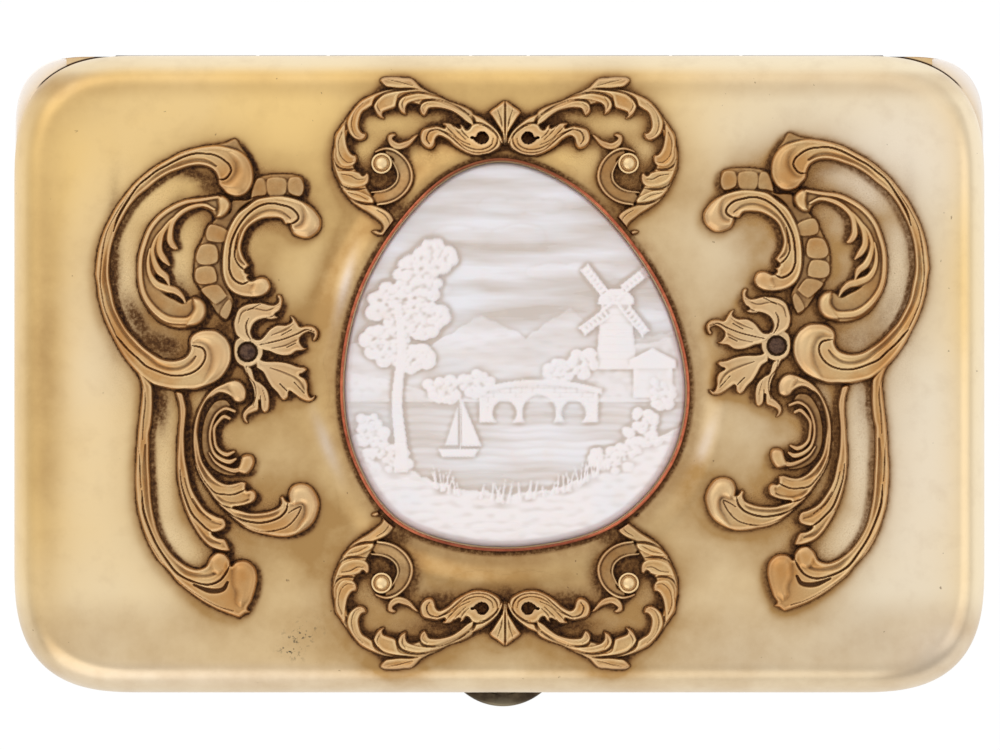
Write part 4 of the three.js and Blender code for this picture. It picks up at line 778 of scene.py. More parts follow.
PETAL_LINES = [
    (0.09, 0.35, [-283, 63, -3, -7, 1, -10, 4, -7]),
    (0.11, 0.4, [-284, 72, 14, 7]),
    (0.07, 0.3, [-268, 62, 11, 3, 7, 5]),
    (0.08, 0.35, [-271, 33, 14, 3, 15, 4, 15, 6, 9, 4, 9, -2]),
    (0.1, 0.4, [-246, 44, 11, 6]),
    (0.1, 0.4, [-240, 30, 10, 5]),
    (0.1, 0.4, [-248, -11, 8, -8]),
    (0.07, 0.3, [-232, -9, 12, -13]),
    (0.08, 0.35, [-286, 9, 2, -11, 7, -9, 2, -11, -3, -13]),
    (0.08, 0.4, [-270, -25, 0, -15]),
]
PETAL_FOLDS = [
    (0.16, 0.14, [-295, 57, 4, 12, 12, 5, 17, -2, 13, 6]),
    (0.2, 0.14, [-257, 44, 15, 6, 9, 6]),
    (0.18, 0.14, [-257, 29, 17, 4, 15, 8, 13, 9]),
    (0.22, 0.14, [-259, 7, 15, -5, 17, -9, 9, -15]),
    (0.16, 0.12, [-268, -15, 4, -15]),
]
FLOWER_EYE = (-28.45, 2.5)

# The left half of the top mount
END_PLATES = [
    (0.5, 0.25, [-129, 253, 13, -3, 12, -12, 4, -13, -4, -17, -14, -12, -20, -4, -6, 8, 3, 5, 15, 3, 10, 8, 2,
     10, -5, 9, -2, 8, -8, 5]),
    (0.75, 0.35, [-123, 322, 20, 1, 14, 0, 10, -4, 10, -4, 11, -6, 12, -4, 10, -4, 7, -6, 0, -14, -7, 3, -10, 8,
     -8, 5, -10, 3, -15, -1, -17, 6, -20, 0, -25, -1, -13, -9, -4, -7, -2, -10, -9, -2, -2, -6, -1, -10, 3, -9,
     5, -8, 1, -10, 9, -10, 5, -12, 6, -10, 2, -9, -15, 0, -10, 6, -9, 7, -7, 11, -5, 12, -2, 12, 0, 11, 3, 12,
     4, 12, 6, 10, 5, 8, 7, 9, 8, 8, 10, 5, 12, 5]),
    (0.8, 0.35, [-173, 201, 9, -3, 10, -4, 11, -2, 11, -4, 8, -5, 5, -7, 2, -6, -3, -7, -5, -6, -9, -1, -7, 2,
     -4, 3, 6, 2, 5, -2, 2, 4, -2, 5, -7, 6, -8, 6, -10, 6, -9, 7]),
]
END_BANDS = [
    (1, 0.34, [-84, 291, -5, 3, -2, 5, 1, 5, 4, 4, 7, 2, 10, -1, 11, -4, 12, -5, 10, -6, 7, -7, 0, -7, -7, 3,
     -10, 8, -8, 5, -10, 3, -9, 1, -6, -1, -2, -4]),
    (1.02, 0.34, [-105, 293, -6, 2, -4, 6, 0, 6, 4, 6, 8, 3, 12, 2, 12, -2, 13, -5, 12, -5, -15, 2, -17, 1, -10,
     -2, -7, -3, -2, -5]),
    (1.05, 0.36, [-129, 288, -7, 2, -5, 6, -2, 7, 4, 7, 7, 6, 8, 3, 11, 2, 14, 0, 11, -2, -15, -1, -10, -4, -2,
     -6, -2, -7, -7, -3, -7, -3, 0, -3]),
    (1.05, 0.4, [-150, 272, -1, -6, -7, -3, -6, 2, -6, 6, -3, 9, 1, 8, 6, 11, 8, 9, 10, 6, 10, 4, 12, 2, -10,
     -5, -5, -6, -2, -6, -5, -4, -6, -4, -3, -7, -1, -8, 3, -6]),
    (1, 0.38, [-186, 253, -1, 7, 1, 10, 5, 8, 5, 6, 3, -3, 0, -8, 1, -10, 2, -8, 4, -6, 4, -1, 2, -4, -1, -5,
     -3, -4, -7, -2, -7, 1, -5, 5, -3, 7]),
    (1, 0.38, [-186, 232, 6, -1, 9, 0, 8, -1, 6, -2, 3, -3, 3, 3, 4, -1, 1, -4, -1, -7, -4, -4, -8, -2, -10, 1,
     -9, 4, -5, 6]),
    (0.98, 0.34, [-178, 209, 9, 0, 10, -1, 8, -3, 7, -4, 3, -5, -1, -3, -9, 0, -10, 2, -9, 4, -5, 5]),
    (0.9, 0.34, [-76, 317, -12, 7, -6, 6, -5, 4, -9, 1, -8, 1, -10, 0, -6, -1, -3, -3, 2, -4, 5, -4, 6, -1, 9,
     -1, 14, 0, 11, -2]),
    (1.15, 0.42, [-35, 278, 3, 4, 8, 3, 10, -2, 8, -5, 6, -7, 3, -8, -2, -8, -9, -6, -10, -3, -11, 0, -10, 4,
     -12, 7, -8, 7, -9, 4, -3, -3, -1, -5, -3, -5, -5, -1, -6, 3, -4, 6, 0, 8, 3, 6, 8, 3, 10, 1, 7, -2, -3, 4,
     4, 2, 7, -1, 4, -3, 5, -2, 0, 4, 5, -2, 3, -4]),
    (1.2, 0.36, [-32, 294, 8, -2, 8, -4, 8, -6, 7, -8, 5, -9, 0, -6, -2, 1, -5, 10, -8, 7, -8, 5, -8, 2, -2,
     4]),
    (1.1, 0.4, [6, 258, -2, 7, -2, 8, -5, 8, -5, 8, -4, 6, 3, 4, 6, 4, 5, 4, 4, 2]),
    (0.85, 0.26, [-116, 269, -2, 3, -4, 0, -4, -2, -1, -5, 2, -6, 6, -5, 8, -1, 8, 3, 7, 7, 5, 8, -5, -1, -7,
     -5, -6, -2, -5, -1, -4, 2, -2, 2, 2, 2]),
]
END_HEADS = [
    (1.1, 0.6, [-81, 265, 5, 2, 5, -2, -1, -6, -3, -4, -5, -1, -6, 3, -2, 5, 3, 3]),
]
END_RIMS = [
    (0.85, [-1397, 2510, 14, 54, 23, 4, 83, 14, 2, 100, -34, 0, 100, -86, 0, 58, -114, 2, 9, -116, 0, -54, -120,
     0, -105, -97, -2, -108, -45, 0, -117, -18, -4]),
    (0.7, [-1227, 2430, 10, 50, -83, 4, 30, -84, 2, -16, -86, 2, -64, -67, 0, -83, -38, 0, -133, -19, -4]),
]
END_GROOVES = [
    (0.1, 0.45, [-90, 301, 2, 6, 9, 3, 10, 0, 13, -4, 12, -6, 10, -7]),
    (0.1, 0.45, [-115, 303, 1, 7, 6, 5, 10, 3, 12, 0, 13, -3, 14, -5]),
    (0.1, 0.45, [-143, 301, 2, 7, 7, 7, 8, 4, 13, 2, 17, 1]),
    (0.1, 0.45, [-173, 276, 0, 9, 4, 10, 9, 10]),
    (0.1, 0.45, [-187, 243, 3, -7, 6, -4, 9, -1, 8, 2]),
    (0.1, 0.45, [-185, 223, 5, -8, 9, -5, 12, -1, 10, 1]),
    (0.1, 0.4, [-179, 208, 6, -7, 10, -6, 12, -3, 10, 0]),
    (0.08, 0.35, [-174, 284, -7, -8, -5, -12, -2, -14, 1, -14, 3, -12, 7, -13]),
    (0.09, 0.45, [-79, 260, -3, 5, 1, 6, 4, 4, 8, 1, 10, -5, 10, -8, 10, -9, 11, -4, 14, 1, 9, 6, 3, 9, -4, 8,
     -8, 6, -8, 1]),
    (0.08, 0.35, [-72, 278, 9, -4, 12, -6, 10, -9, 12, -5, 11, 0, 9, 5, 2, 7]),
    (0.08, 0.35, [-62, 282, 8, -9, 10, -9, 11, -5]),
    (0.08, 0.35, [-54, 283, 6, -8, 10, -10]),
    (0.08, 0.35, [-45, 280, 4, -7, 6, -6]),
    (0.1, 0.4, [-29, 284, 10, -2, 8, -5, 8, -7, 5, -10]),
    (0.09, 0.4, [-12, 294, 6, -9, 6, -12, 4, -13]),
    (0.09, 0.3, [-3, 302, 5, -16, 3, -20]),
    (0.09, 0.35, [6, 305, 0, -17, 0, -23]),
    (0.07, 0.25, [-136, 310, -2, -7, 4, -8]),
    (0.07, 0.25, [-106, 312, -4, -7, 2, -7]),
    (0.07, 0.22, [-81, 306, -6, -5, 2, -6]),
    (0.07, 0.25, [-154, 306, -10, -11, -3, -14, 4, -11, 8, -4]),
    (0.07, 0.25, [-178, 273, -4, -13, 3, -14, 8, -7, 7, 1]),
    (0.08, 0.3, [-178, 226, 10, -2, 8, -4, 6, 0]),
    (0.07, 0.22, [-171, 205, 12, -3, 11, -6]),
    (0.07, 0.25, [-126, 333, 13, -3, 15, -4]),
    (0.07, 0.3, [-138, 185, 9, -6, 5, -9, -2, -8]),
]
END_GROOVE_SHARE = 0.65  # of the depths above
VOLUTE_HOLE = [-29, 265, -4, 2, 2, 1, 5, 0, 2, 4, 5, 2, 5, -3, 2, -5, -3, -5, -7, -1]
STUD = (-13.3, 23.8)


def draw_side(step):
    """The left mount"""
    c = Casting(-46.6, -19.4, -28.2, 27, step)
    c.plates(SIDE_PLATES)
    c.plates(SIDE_BANDS, dip=0.16)
    c.grooves(SIDE_HOLLOWS, soft=True)
    c.plates(SIDE_HEADS, soft=0.25)
    c.strands(SIDE_STRANDS, STROKE_UNITS)
    c.grooves(SIDE_GROOVES)
    c.plates(FLOWER, dip=0.08)
    c.grooves(PETAL_LINES)
    c.grooves(PETAL_FOLDS, soft=True)
    for points in FLOWER_HOLES:
        c.sink(traced(points, STROKE_UNITS), 1.5)
    x, y = FLOWER_EYE
    c.sink([(x, y, 1.15), (x + 0.01, y, 1.15)], 0.5)
    return c


def draw_end(step):
    """The top mount: a half and its mirror image"""
    c = Casting(-19.6, 20.9, 15, 34.3, step, mirror=END_MIDDLE)
    c.plates(END_PLATES)
    c.strands(END_RIMS, RIM_UNITS)
    c.plates(END_BANDS, dip=0.1)
    c.plates(END_HEADS, soft=0.2)
    c.grooves(END_GROOVES, END_GROOVE_SHARE)
    for outline in c.sides(VOLUTE_HOLE):
        c.pierce(outline)
    x, y = STUD
    for px in (x, 2 * END_MIDDLE - x):
        c.seat(px, y, 1.15, 0.8)
    return c


# Where each mount's points lie on the lid, from where they are drawn
PLACES = {
    "left_mount": lambda x, y: (x, y),
    "right_mount": lambda x, y: (2 * SIDES_MIDDLE - x, y + SIDES_DROP),
    "top_mount": lambda x, y: (x, y),
    "bottom_mount": lambda x, y: (x, 2 * ENDS_MIDDLE - y),
}
SIDE_MOUNTS = ("left_mount", "right_mount")
MIRRORED = ("right_mount", "bottom_mount")
DRAWN = {}


def drawn_casting(name, step):
    """Each casting is drawn once, and serves both of its places"""
    draw = draw_side if name in SIDE_MOUNTS else draw_end
    if draw not in DRAWN:
        DRAWN[draw] = draw(step)
    return DRAWN[draw]


# Wear, dirt and painted light


def look_up(v, s, t):
    """A grid's values between its points, at columns s and rows t"""
    i, j = np.clip(s.astype(int), 0, v.shape[1] - 2), np.clip(t.astype(int), 0, v.shape[0] - 2)
    p, q = s - i, t - j
    return (v[j, i] * (1 - p) + v[j, i + 1] * p) * (1 - q) + (v[j + 1, i] * (1 - p) + v[j + 1, i + 1] * p) * q


class Mask:
    """A grid over the lid that holds 1 where a casting covers it"""

    def __init__(self, casting_step):
        self.v = np.zeros((int(DEPTH / MASK_STEP) + 2, int(LENGTH / MASK_STEP) + 2))
        self.blurs = {}
        for name, place in PLACES.items():
            c = drawn_casting(name, casting_step)
            xx, yy = np.meshgrid(c.x, c.y)
            on = c.h > 0.02
            s, t = self.cell(*place(xx[on], yy[on]))
            self.v[np.rint(t).astype(int), np.rint(s).astype(int)] = 1

    def cell(self, x, y):
        """The grid's column and row at a point, with their fractions"""
        return (x + LENGTH / 2) / MASK_STEP, (y + DEPTH / 2) / MASK_STEP

    def at(self, x, y, radius):
        """How much of the lid is covered within about this radius of each point, 0 to 1"""
        if radius not in self.blurs:
            self.blurs[radius] = blur(self.v, radius, MASK_STEP)
        rows, columns = self.v.shape
        s, t = self.cell(x, y)
        return look_up(self.blurs[radius], np.clip(s, 0, columns - 1.001), np.clip(t, 0, rows - 1.001))


def blob(x, y, cx, cy, rx, ry, turn=0.0):
    """A soft spot of height 1"""
    c, s = math.cos(math.radians(turn)), math.sin(math.radians(turn))
    u = ((x - cx) * c + (y - cy) * s) / rx
    v = (-(x - cx) * s + (y - cy) * c) / ry
    return np.exp(-0.5 * (u * u + v * v))


def highest(x, y, blobs):
    """The highest of some blobs at each point"""
    return np.max([blob(x, y, *b) for b in blobs], axis=0)


def mirrored(blobs, middle, shift=0.0):
    """The same blobs on the other side of a line from front to back"""
    return [(2 * middle - cx, cy + shift, rx, ry, *(-t for t in turn)) for cx, cy, rx, ry, *turn in blobs]


def heaped(x, y, blobs):
    """The sum of some blobs, each with its strength before the rest"""
    return sum(share * blob(x, y, *place) for share, *place in blobs)


# Blobs as (x, y, reach along x, reach along y, turn in degrees), in millimetres, which are mirrored to the other
# side: painted shade where the lid is black beside the castings, and where its ground has kept its gold
SIDE_SHADE = [
    (-37.7, 3.5, 2.2, 0.9, -25), (-36.2, 8.4, 0.9, 1.7), (-32.9, 21.4, 0.9, 0.7), (-38.2, -3.5, 0.7, 2.2),
    (-31.3, 4.9, 1.0, 1.4), (-30.3, 7.2, 1.2, 0.9), (-34.2, 22.5, 2.2, 0.6, -16), (-32.4, 21.4, 1.0, 0.9),
    (-40.8, 6.0, 0.8, 2.4, 32), (-38.6, 3.4, 2.8, 0.9, -28), (-43.5, 12.5, 0.5, 5.0),
    (-36.6, 17.6, 0.6, 1.6, -15), (-33.6, 7.9, 1.2, 0.6),
]
END_SHADE = [
    (-11.3, 18.6, 1.2, 1.0), (-13.6, 22.2, 1.2, 1.2), (-9.7, -23.0, 0.7, 2.2), (-6.6, -25.5, 2.6, 0.9),
    (-6.9, -28.5, 2.6, 0.7), (-13.6, -22.0, 1.2, 1.2), (-11.3, -18.4, 1.2, 1.0), (0.65, -24.7, 1.3, 0.7),
]
SIDE_GOLD = [
    (-39, 20, 4, 1.6, 35), (-42.2, 9.5, 1.7, 8), (-36, 12.5, 1.5, 4), (-37.8, -8, 1.0, 9),
    (-36.8, -18.6, 1.2, 3.2, 35), (-33.3, -6.5, 1, 5),
]
END_GOLD = [(-12, 28.4, 2.6, 0.8), (-7, 28.9, 2.2, 0.5), (-15.3, 25.5, 0.9, 0.9), (-7.5, 24.4, 3, 1)]

# Blobs on the lid's field, with their strength before the rest: dirt with painted shade, warmth, painted
# highlights and specks
# dirt with some painted shade, thinned where the ground is golden
DIRT_AND_SHADE_OFF_GOLD = [
    (0.7, -21, -13, 4, 9, 15), (0.3, -20, -24, 6, 5), (0.5, 24, -14, 5, 10), (0.45, 21, 10, 3, 9, 25),
    (0.75, -51.5, 2, 1.7, 17), (0.3, -49, 31, 5, 2.5, 25), (0.4, 2, -24, 10, 4), (0.3, -20, 5, 4, 7),
    (0.7, -19.4, 11.0, 1.0, 4, -20),
]
DIRT_AND_SHADE = [
    (0.5, 21.5, -12.5, 2.5, 3), (0.4, -19.3, 6, 2, 4), (0.4, 29.5, 12.9, 2, 3), (0.35, 44.3, 18.6, 2, 2.5),
    (0.4, -11, -32.2, 4, 1.2), (0.4, 12, -32.2, 4, 1.2), (0.55, -5, -21.6, 9, 1.8),
    (0.75, -16.2, 16.4, 1.7, 3.2, -32), (0.55, -8.4, 23.6, 3.2, 1.3, 28), (0.75, 37.6, 14.6, 2.4, 4.8),
]
WARMTH = [
    (0.5, -30, 30, 26, 9), (0.55, -53, 4, 3, 26), (0.35, -8, 12, 20, 22), (-0.42, 45, -5, 16, 30),
    (-0.1, -47, 2, 5, 10), (-0.25, 38, 20, 14, 12), (-0.3, 30, -33, 18, 5), (0.8, 53.5, 8, 2, 26),
    (0.35, 52, 32, 3, 4), (-0.25, -40, -31, 20, 5),
]
# painted highlights: reflections on the boss's slope and pale patches on the rolled edges
PAINTED_HIGHLIGHTS = [
    (1.0, -17.6, 9.4, 0.45, 2.9, -14), (0.8, -19.5, -8, 0.5, 2.4, 22), (0.8, 23, -8.5, 0.5, 2.4, -22),
    (0.1, -47, 1, 4, 8), (0.4, 44, 24, 9, 5, 20), (0.3, 47, -12, 5, 12), (0.45, 50, -31, 4, 2, 35),
    (0.4, -33, -34.2, 16, 0.9),
]
SPECKS = [(1, -22.4, -29.6, 1.6, 0.9, 30), (1, -23.6, -31.4, 0.8, 0.4, -30)]


def lid_wear_and_painted_light(x, y, mask):
    """How worn, dirty or dark the lid is at each point, with its painted shade, shadows and highlights, as the
    attributes its finish reads
    """
    tight, wide, far = (mask.at(x, y, radius) for radius in (0.2, 0.8, 2.2))
    egg = outside_egg(x, y)

    # the ground inside the scrolls, brown or, in places, golden
    golden = highest(x, y, SIDE_GOLD + mirrored(SIDE_GOLD, SIDES_MIDDLE, SIDES_DROP))
    golden = np.maximum(golden, 0.7 * highest(x, y, END_GOLD + mirrored(END_GOLD, END_MIDDLE)))
    ground = np.maximum(0.8 * smoothstep(far, 0.3, 0.55) * (1 - 0.5 * golden), 0.5 * golden)

    # a brown film round the mounts and the plaque: grime, and painted shade where the lid meets them
    grime_and_shade = np.clip(0.9 * smoothstep(wide, 0.05, 0.62) + 0.32 * smoothstep(far, 0.12, 0.8), 0, 1)
    grime_and_shade = np.maximum(grime_and_shade, 0.55 * (1 - smoothstep(egg, 1.2, 3.2))) * (1 - 0.85 * golden)

    # painted shade, nearly black, where the castings meet the lid, and a painted shadow cast to one side of
    # their upright edges
    shadow_beside = mask.at(x + 0.62 * np.sign(x), y + 0.18, 0.42) * smoothstep(np.abs(x - EGG_MIDDLE[0]), 20, 23)
    ends = (1 - smoothstep(np.abs(x - END_MIDDLE), 19.5, 21)) * smoothstep(np.abs(y), 13, 16)
    crevice_shade = np.max([
        0.9 * smoothstep(tight, 0.03, 0.5) + 0.5 * smoothstep(wide, 0.3, 0.7) * smoothstep(far, 0.35, 0.65),
        0.8 * highest(x, y, SIDE_SHADE),
        0.4 * highest(x, y, mirrored(SIDE_SHADE, SIDES_MIDDLE, SIDES_DROP)),
        0.95 * smoothstep(shadow_beside, 0.2, 0.7) * smoothstep(far, 0.18, 0.42),
        0.45 * smoothstep(shadow_beside, 0.3, 0.85),
        0.85 * ends * smoothstep(wide, 0.2, 0.5) * smoothstep(far, 0.25, 0.45),
        0.8 * (1 - smoothstep(egg, 0.75, 1.3)),
        0.75 * highest(x, y, END_SHADE + mirrored(END_SHADE, END_MIDDLE)),
    ], axis=0)
    right = smoothstep(x, 20, 24)
    crevice_shade *= 1 - 0.28 * right - 0.28 * smoothstep(x, 6, 10) * (1 - right) * smoothstep(y, 12, 15)

    # a thin film of dirt further out, heavier along the front and the hinge, with a painted shadow on the front
    # side of each mount and painted shade on a few spots
    shadow_south = np.clip(mask.at(x + 0.5, y + 0.6, 0.8), 0, 1)
    dirt_and_shadow = 0.75 * smoothstep(mask.at(x, y, 3.4), 0.03, 0.5) + 0.45 * smoothstep(shadow_south, 0.05, 0.6)
    dirt_and_shadow += 0.42 * smoothstep(-y, 24, 29) + 0.3 * smoothstep(y, 30.5, 32.5) * (1 - smoothstep(y, 33.6, 34.6))
    dirt_and_shadow = (dirt_and_shadow + heaped(x, y, DIRT_AND_SHADE_OFF_GOLD)) * (1 - 0.75 * golden) + heaped(x, y, DIRT_AND_SHADE)

    # the rolled edge, pale from worn gilding and a painted highlight, over a width that differs from side to
    # side
    rubbed = 3.5 - 1.2 * smoothstep(-x, 48, 52) - 0.8 * smoothstep(x, 48, 52) - 1.2 * smoothstep(y, 31, 34)
    edge = 1 - smoothstep(inset_at(x, y), 0.9, rubbed)
    edge *= 1 - 0.6 * smoothstep(-x, 48, 51) * smoothstep(y, -30, -22)

    values = {
        "grime_and_shade": grime_and_shade, "crevice_shade": crevice_shade, "ground": ground, "warm": 0.55 + heaped(x, y, WARMTH),
        "painted_highlight": heaped(x, y, PAINTED_HIGHLIGHTS), "dirt_and_shadow": dirt_and_shadow, "edge": edge, "specks": heaped(x, y, SPECKS),
    }
    return {name: np.clip(value, 0, 1) for name, value in values.items()}


def cells(keep, rule=np.any):
    """The cells of a grid with any kept corner, or all, as faces, and which points they use"""
    cell = rule([keep[:-1, :-1], keep[1:, :-1], keep[:-1, 1:], keep[1:, 1:]], axis=0)
    used = np.zeros(keep.shape, bool)
    for rows in (slice(None, -1), slice(1, None)):
        for columns in (slice(None, -1), slice(1, None)):
            used[rows, columns] |= cell
    index = np.full(keep.shape, -1)
    index[used] = np.arange(used.sum())
    j, i = np.nonzero(cell)
    return used, np.stack([index[j, i], index[j, i + 1], index[j + 1, i + 1], index[j + 1, i]], 1)


# Pieces


def mouth_at(rim, flat, relief):
    """The height of a shell's lip along its rim: even, but for the notch that the hinge lies in"""
    notch = (np.abs(rim[:, 0]) < NOTCH) & (rim[:, 1] > NOTCH_FRONT)
    return np.where(notch, PARTING + relief, flat)


class CASE_OT_lid(Operator):
    """Makes the lid's shell, with its wear, its painted highlights, and the grime and painted shade round the
    mounts
    """

    bl_idname = "case.lid"
    bl_label = "Lid"

    def execute(self, context):
        sizes, looks = context.scene.case_sizes, context.scene.case_looks
        mouth = PARTING + GAP / 2
        rows = sizes.field_rows
        shoulder = plan(ROLL_WIDTH)
        foot = off_egg(shoulder, BOSS_FOOT)

        def top(points, under=0.0):
            return raise_to(points, lid_top(points[:, 0], points[:, 1]) - under)

        seat = off_egg(shoulder, EGG_GAP)
        rings = [raise_to(seat, SEAT), raise_to(seat, BOSS_TOP)]
        rings += [top(off_egg(shoulder, out)) for out in np.linspace(0.6, BOSS_FOOT, 15)]
        rings += [top(foot + (shoulder - foot) * s) for s in np.linspace(0, 1, rows)[1:]]
        rings += [top(plan(ROLL_WIDTH * (1 - math.sin(t)))) for t in np.linspace(0, math.pi / 2, 15)[1:]]
        rim = plan(0)
        lip = mouth_at(rim, mouth, HINGE_RELIEF)
        rings += [raise_to(rim, np.maximum(z, lip)) for z in np.linspace(FIELD - ROLL_HEIGHT, mouth, 6)[1:]]
        rings[-1] = raise_to(rim, lip + BREAK)
        rings += [raise_to(plan(BREAK), lip), raise_to(plan(WALL - INNER_BREAK), lip)]
        rings.append(raise_to(plan(WALL), lip + INNER_BREAK))
        for t in np.linspace(0, math.pi / 2, 10):
            z = FIELD - ROLL_HEIGHT + (ROLL_HEIGHT - WALL) * math.sin(t)
            rings.append(raise_to(plan(ROLL_WIDTH - (ROLL_WIDTH - WALL) * math.cos(t)), z))
        rings += [top(foot * s + shoulder * (1 - s), WALL) for s in np.linspace(0, 1, 8)[1:]]
        rings += [top(off_egg(shoulder, out), WALL) for out in (4.2, 3.4, 2.6, 1.8)]
        rings.append(raise_to(off_egg(shoulder, EGG_GAP + WALL), SEAT - WALL))
        verts, faces = skin(rings)
        lid = make_object("lid_panel", verts, faces, lid_finish(looks), angle=35)
        x, y, z = verts.T
        up = (z > lid_top(x, y) - 0.3).astype(float)
        for name, value in lid_wear_and_painted_light(x, y, Mask(sizes.casting_step)).items():
            set_attribute(lid, name, value * up + (0.5 * (1 - up) if name == "warm" else 0))
        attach(lid, "lid")
        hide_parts("lid_shell")
        return {"FINISHED"}


class CASE_OT_base(Operator):
    """Makes the base's shell, with the ledge that shows behind the lid's corners and the button's slot"""

    bl_idname = "case.base"
    bl_label = "Base"

    def execute(self, context):
        def around(inset, z, back=CORNER):
            return raise_to(plan(inset, back, corner=20, long=100, short=50), z)

        rings = [around(inset, 0, BACK_CORNER) for inset in (20, 8)]
        for t in np.linspace(math.pi / 2, 0, 11):
            rings.append(around(ROLL_WIDTH * (1 - math.cos(t)), ROLL_HEIGHT * (1 - math.sin(t)), BACK_CORNER))
        mouth = PARTING - GAP / 2
        lip = mouth_at(around(0, 0, BACK_CORNER), mouth, -HINGE_RELIEF)
        for z in np.linspace(ROLL_HEIGHT, mouth - 0.15, 4)[1:]:
            rings.append(around(0, np.minimum(z, lip), BACK_CORNER))
        rings.append(around(0, lip - BREAK, BACK_CORNER))
        rings += [around(BREAK, lip, back) for back in LEDGE]
        n = len(lip)
        start = (len(rings) - len(LEDGE)) * n
        rings += [around(WALL - INNER_BREAK, lip), around(WALL, lip - INNER_BREAK)]
        for t in np.linspace(0, math.pi / 2, 9):
            z = ROLL_HEIGHT - (ROLL_HEIGHT - WALL) * math.sin(t)
            rings.append(around(ROLL_WIDTH - (ROLL_WIDTH - WALL) * math.cos(t), z))
        rings += [around(inset, WALL) for inset in (8, 20)]
        verts, faces = skin(rings)
        base = make_object("base_panel", verts, faces, gilt_finish(context.scene.case_looks), angle=35)
        # the ledge is pale towards the back, most of all at its rim: a painted highlight
        ledge_highlight = np.zeros(len(verts))
        ledge = slice(start - n, start + 2 * n)
        ledge_highlight[ledge] = smoothstep(verts[ledge, 1], 22, 27)
        ledge_highlight[start + n : start + 2 * n] *= 0.35
        set_attribute(base, "ledge_highlight", ledge_highlight)
        low, high = (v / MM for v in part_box("thumb_button"))
        half = BUTTON_HALF + 0.2
        corners = [
            (x, y, z)
            for x in (BUTTON_MIDDLE - half, BUTTON_MIDDLE + half)
            for y in (-DEPTH / 2 - 1, -DEPTH / 2 + WALL + 1)
            for z in (low.z - 0.2, high.z + 0.2)
        ]
        sides = [(0, 1, 3, 2), (4, 6, 7, 5), (0, 4, 5, 1), (2, 3, 7, 6), (0, 2, 6, 4), (1, 5, 7, 3)]
        cutter = make_object("slot", corners, sides, smooth=False)
        cut = base.modifiers.new("slot", "BOOLEAN")
        cut.object, cut.operation, cut.solver = cutter, "DIFFERENCE", "EXACT"
        apply_modifiers(context, base)
        bpy.data.objects.remove(cutter)
        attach(base, "base")
        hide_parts("base_shell")
        return {"FINISHED"}


class CASE_OT_grounds(Operator):
    """Lays a fine skin on the lid round each mount, for the sharp dirt and painted shade at the castings' foot
    """

    bl_idname = "case.grounds"
    bl_label = "Grounds"

    def execute(self, context):
        sizes = context.scene.case_sizes
        mask = Mask(sizes.casting_step)
        step = sizes.ground_step * 1
        for name, place in PLACES.items():
            c = drawn_casting(name, sizes.casting_step)
            columns, rows = (np.arange(line[0] - 2, line[-1] + 2, step) for line in (c.x, c.y))
            x, y = place(*np.meshgrid(columns, rows))
            keep = (mask.at(x, y, 1.2) > 0.02) & (mask.at(x, y, 0.3) < 0.97)
            keep &= (outside_egg(x, y) > BEZEL_WALL + 0.3) & (inset_at(x, y) > 0.9)
            beside_ends = (np.abs(x - SIDES_MIDDLE) > 21.2) | (np.abs(y) < 12)
            keep &= beside_ends == (name in SIDE_MOUNTS)
            used, quad = cells(keep, np.all)
            if name in MIRRORED:
                quad = quad[:, ::-1]
            x, y = x[used], y[used]
            verts = np.stack([x, y, lid_top(x, y) + GROUND_LIFT], 1)
            material = bpy.data.materials["worn_gilt"]
            obj = make_object(name.replace("mount", "ground"), verts, quad.tolist(), material)
            for attribute, value in lid_wear_and_painted_light(x, y, mask).items():
                set_attribute(obj, attribute, value)
            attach(obj, "lid")
        return {"FINISHED"}


# Where the castings' heads are paler or browner than the rest
RUBBED_HEADS = [
    (x, y, 1.8, 1.8) for x, y in ((-22.6, 17.2), (24.6, 17.9), (25.2, -14.3), (-33.4, 2.5), (-22.4, -14.3))
]
AMBER_HEADS = [
    (-29.4, -23.6, 2.2, 3.4), (32.0, -23.8, 2.2, 3.4), (-29.9, 22.6, 1.8, 1.8), (33.0, 23.6, 1.8, 1.8),
    (-42.8, 3.0, 1.0, 6.0), (-38.5, -10.0, 1.2, 5.0), (43.5, 3.0, 1.0, 6.0),
]


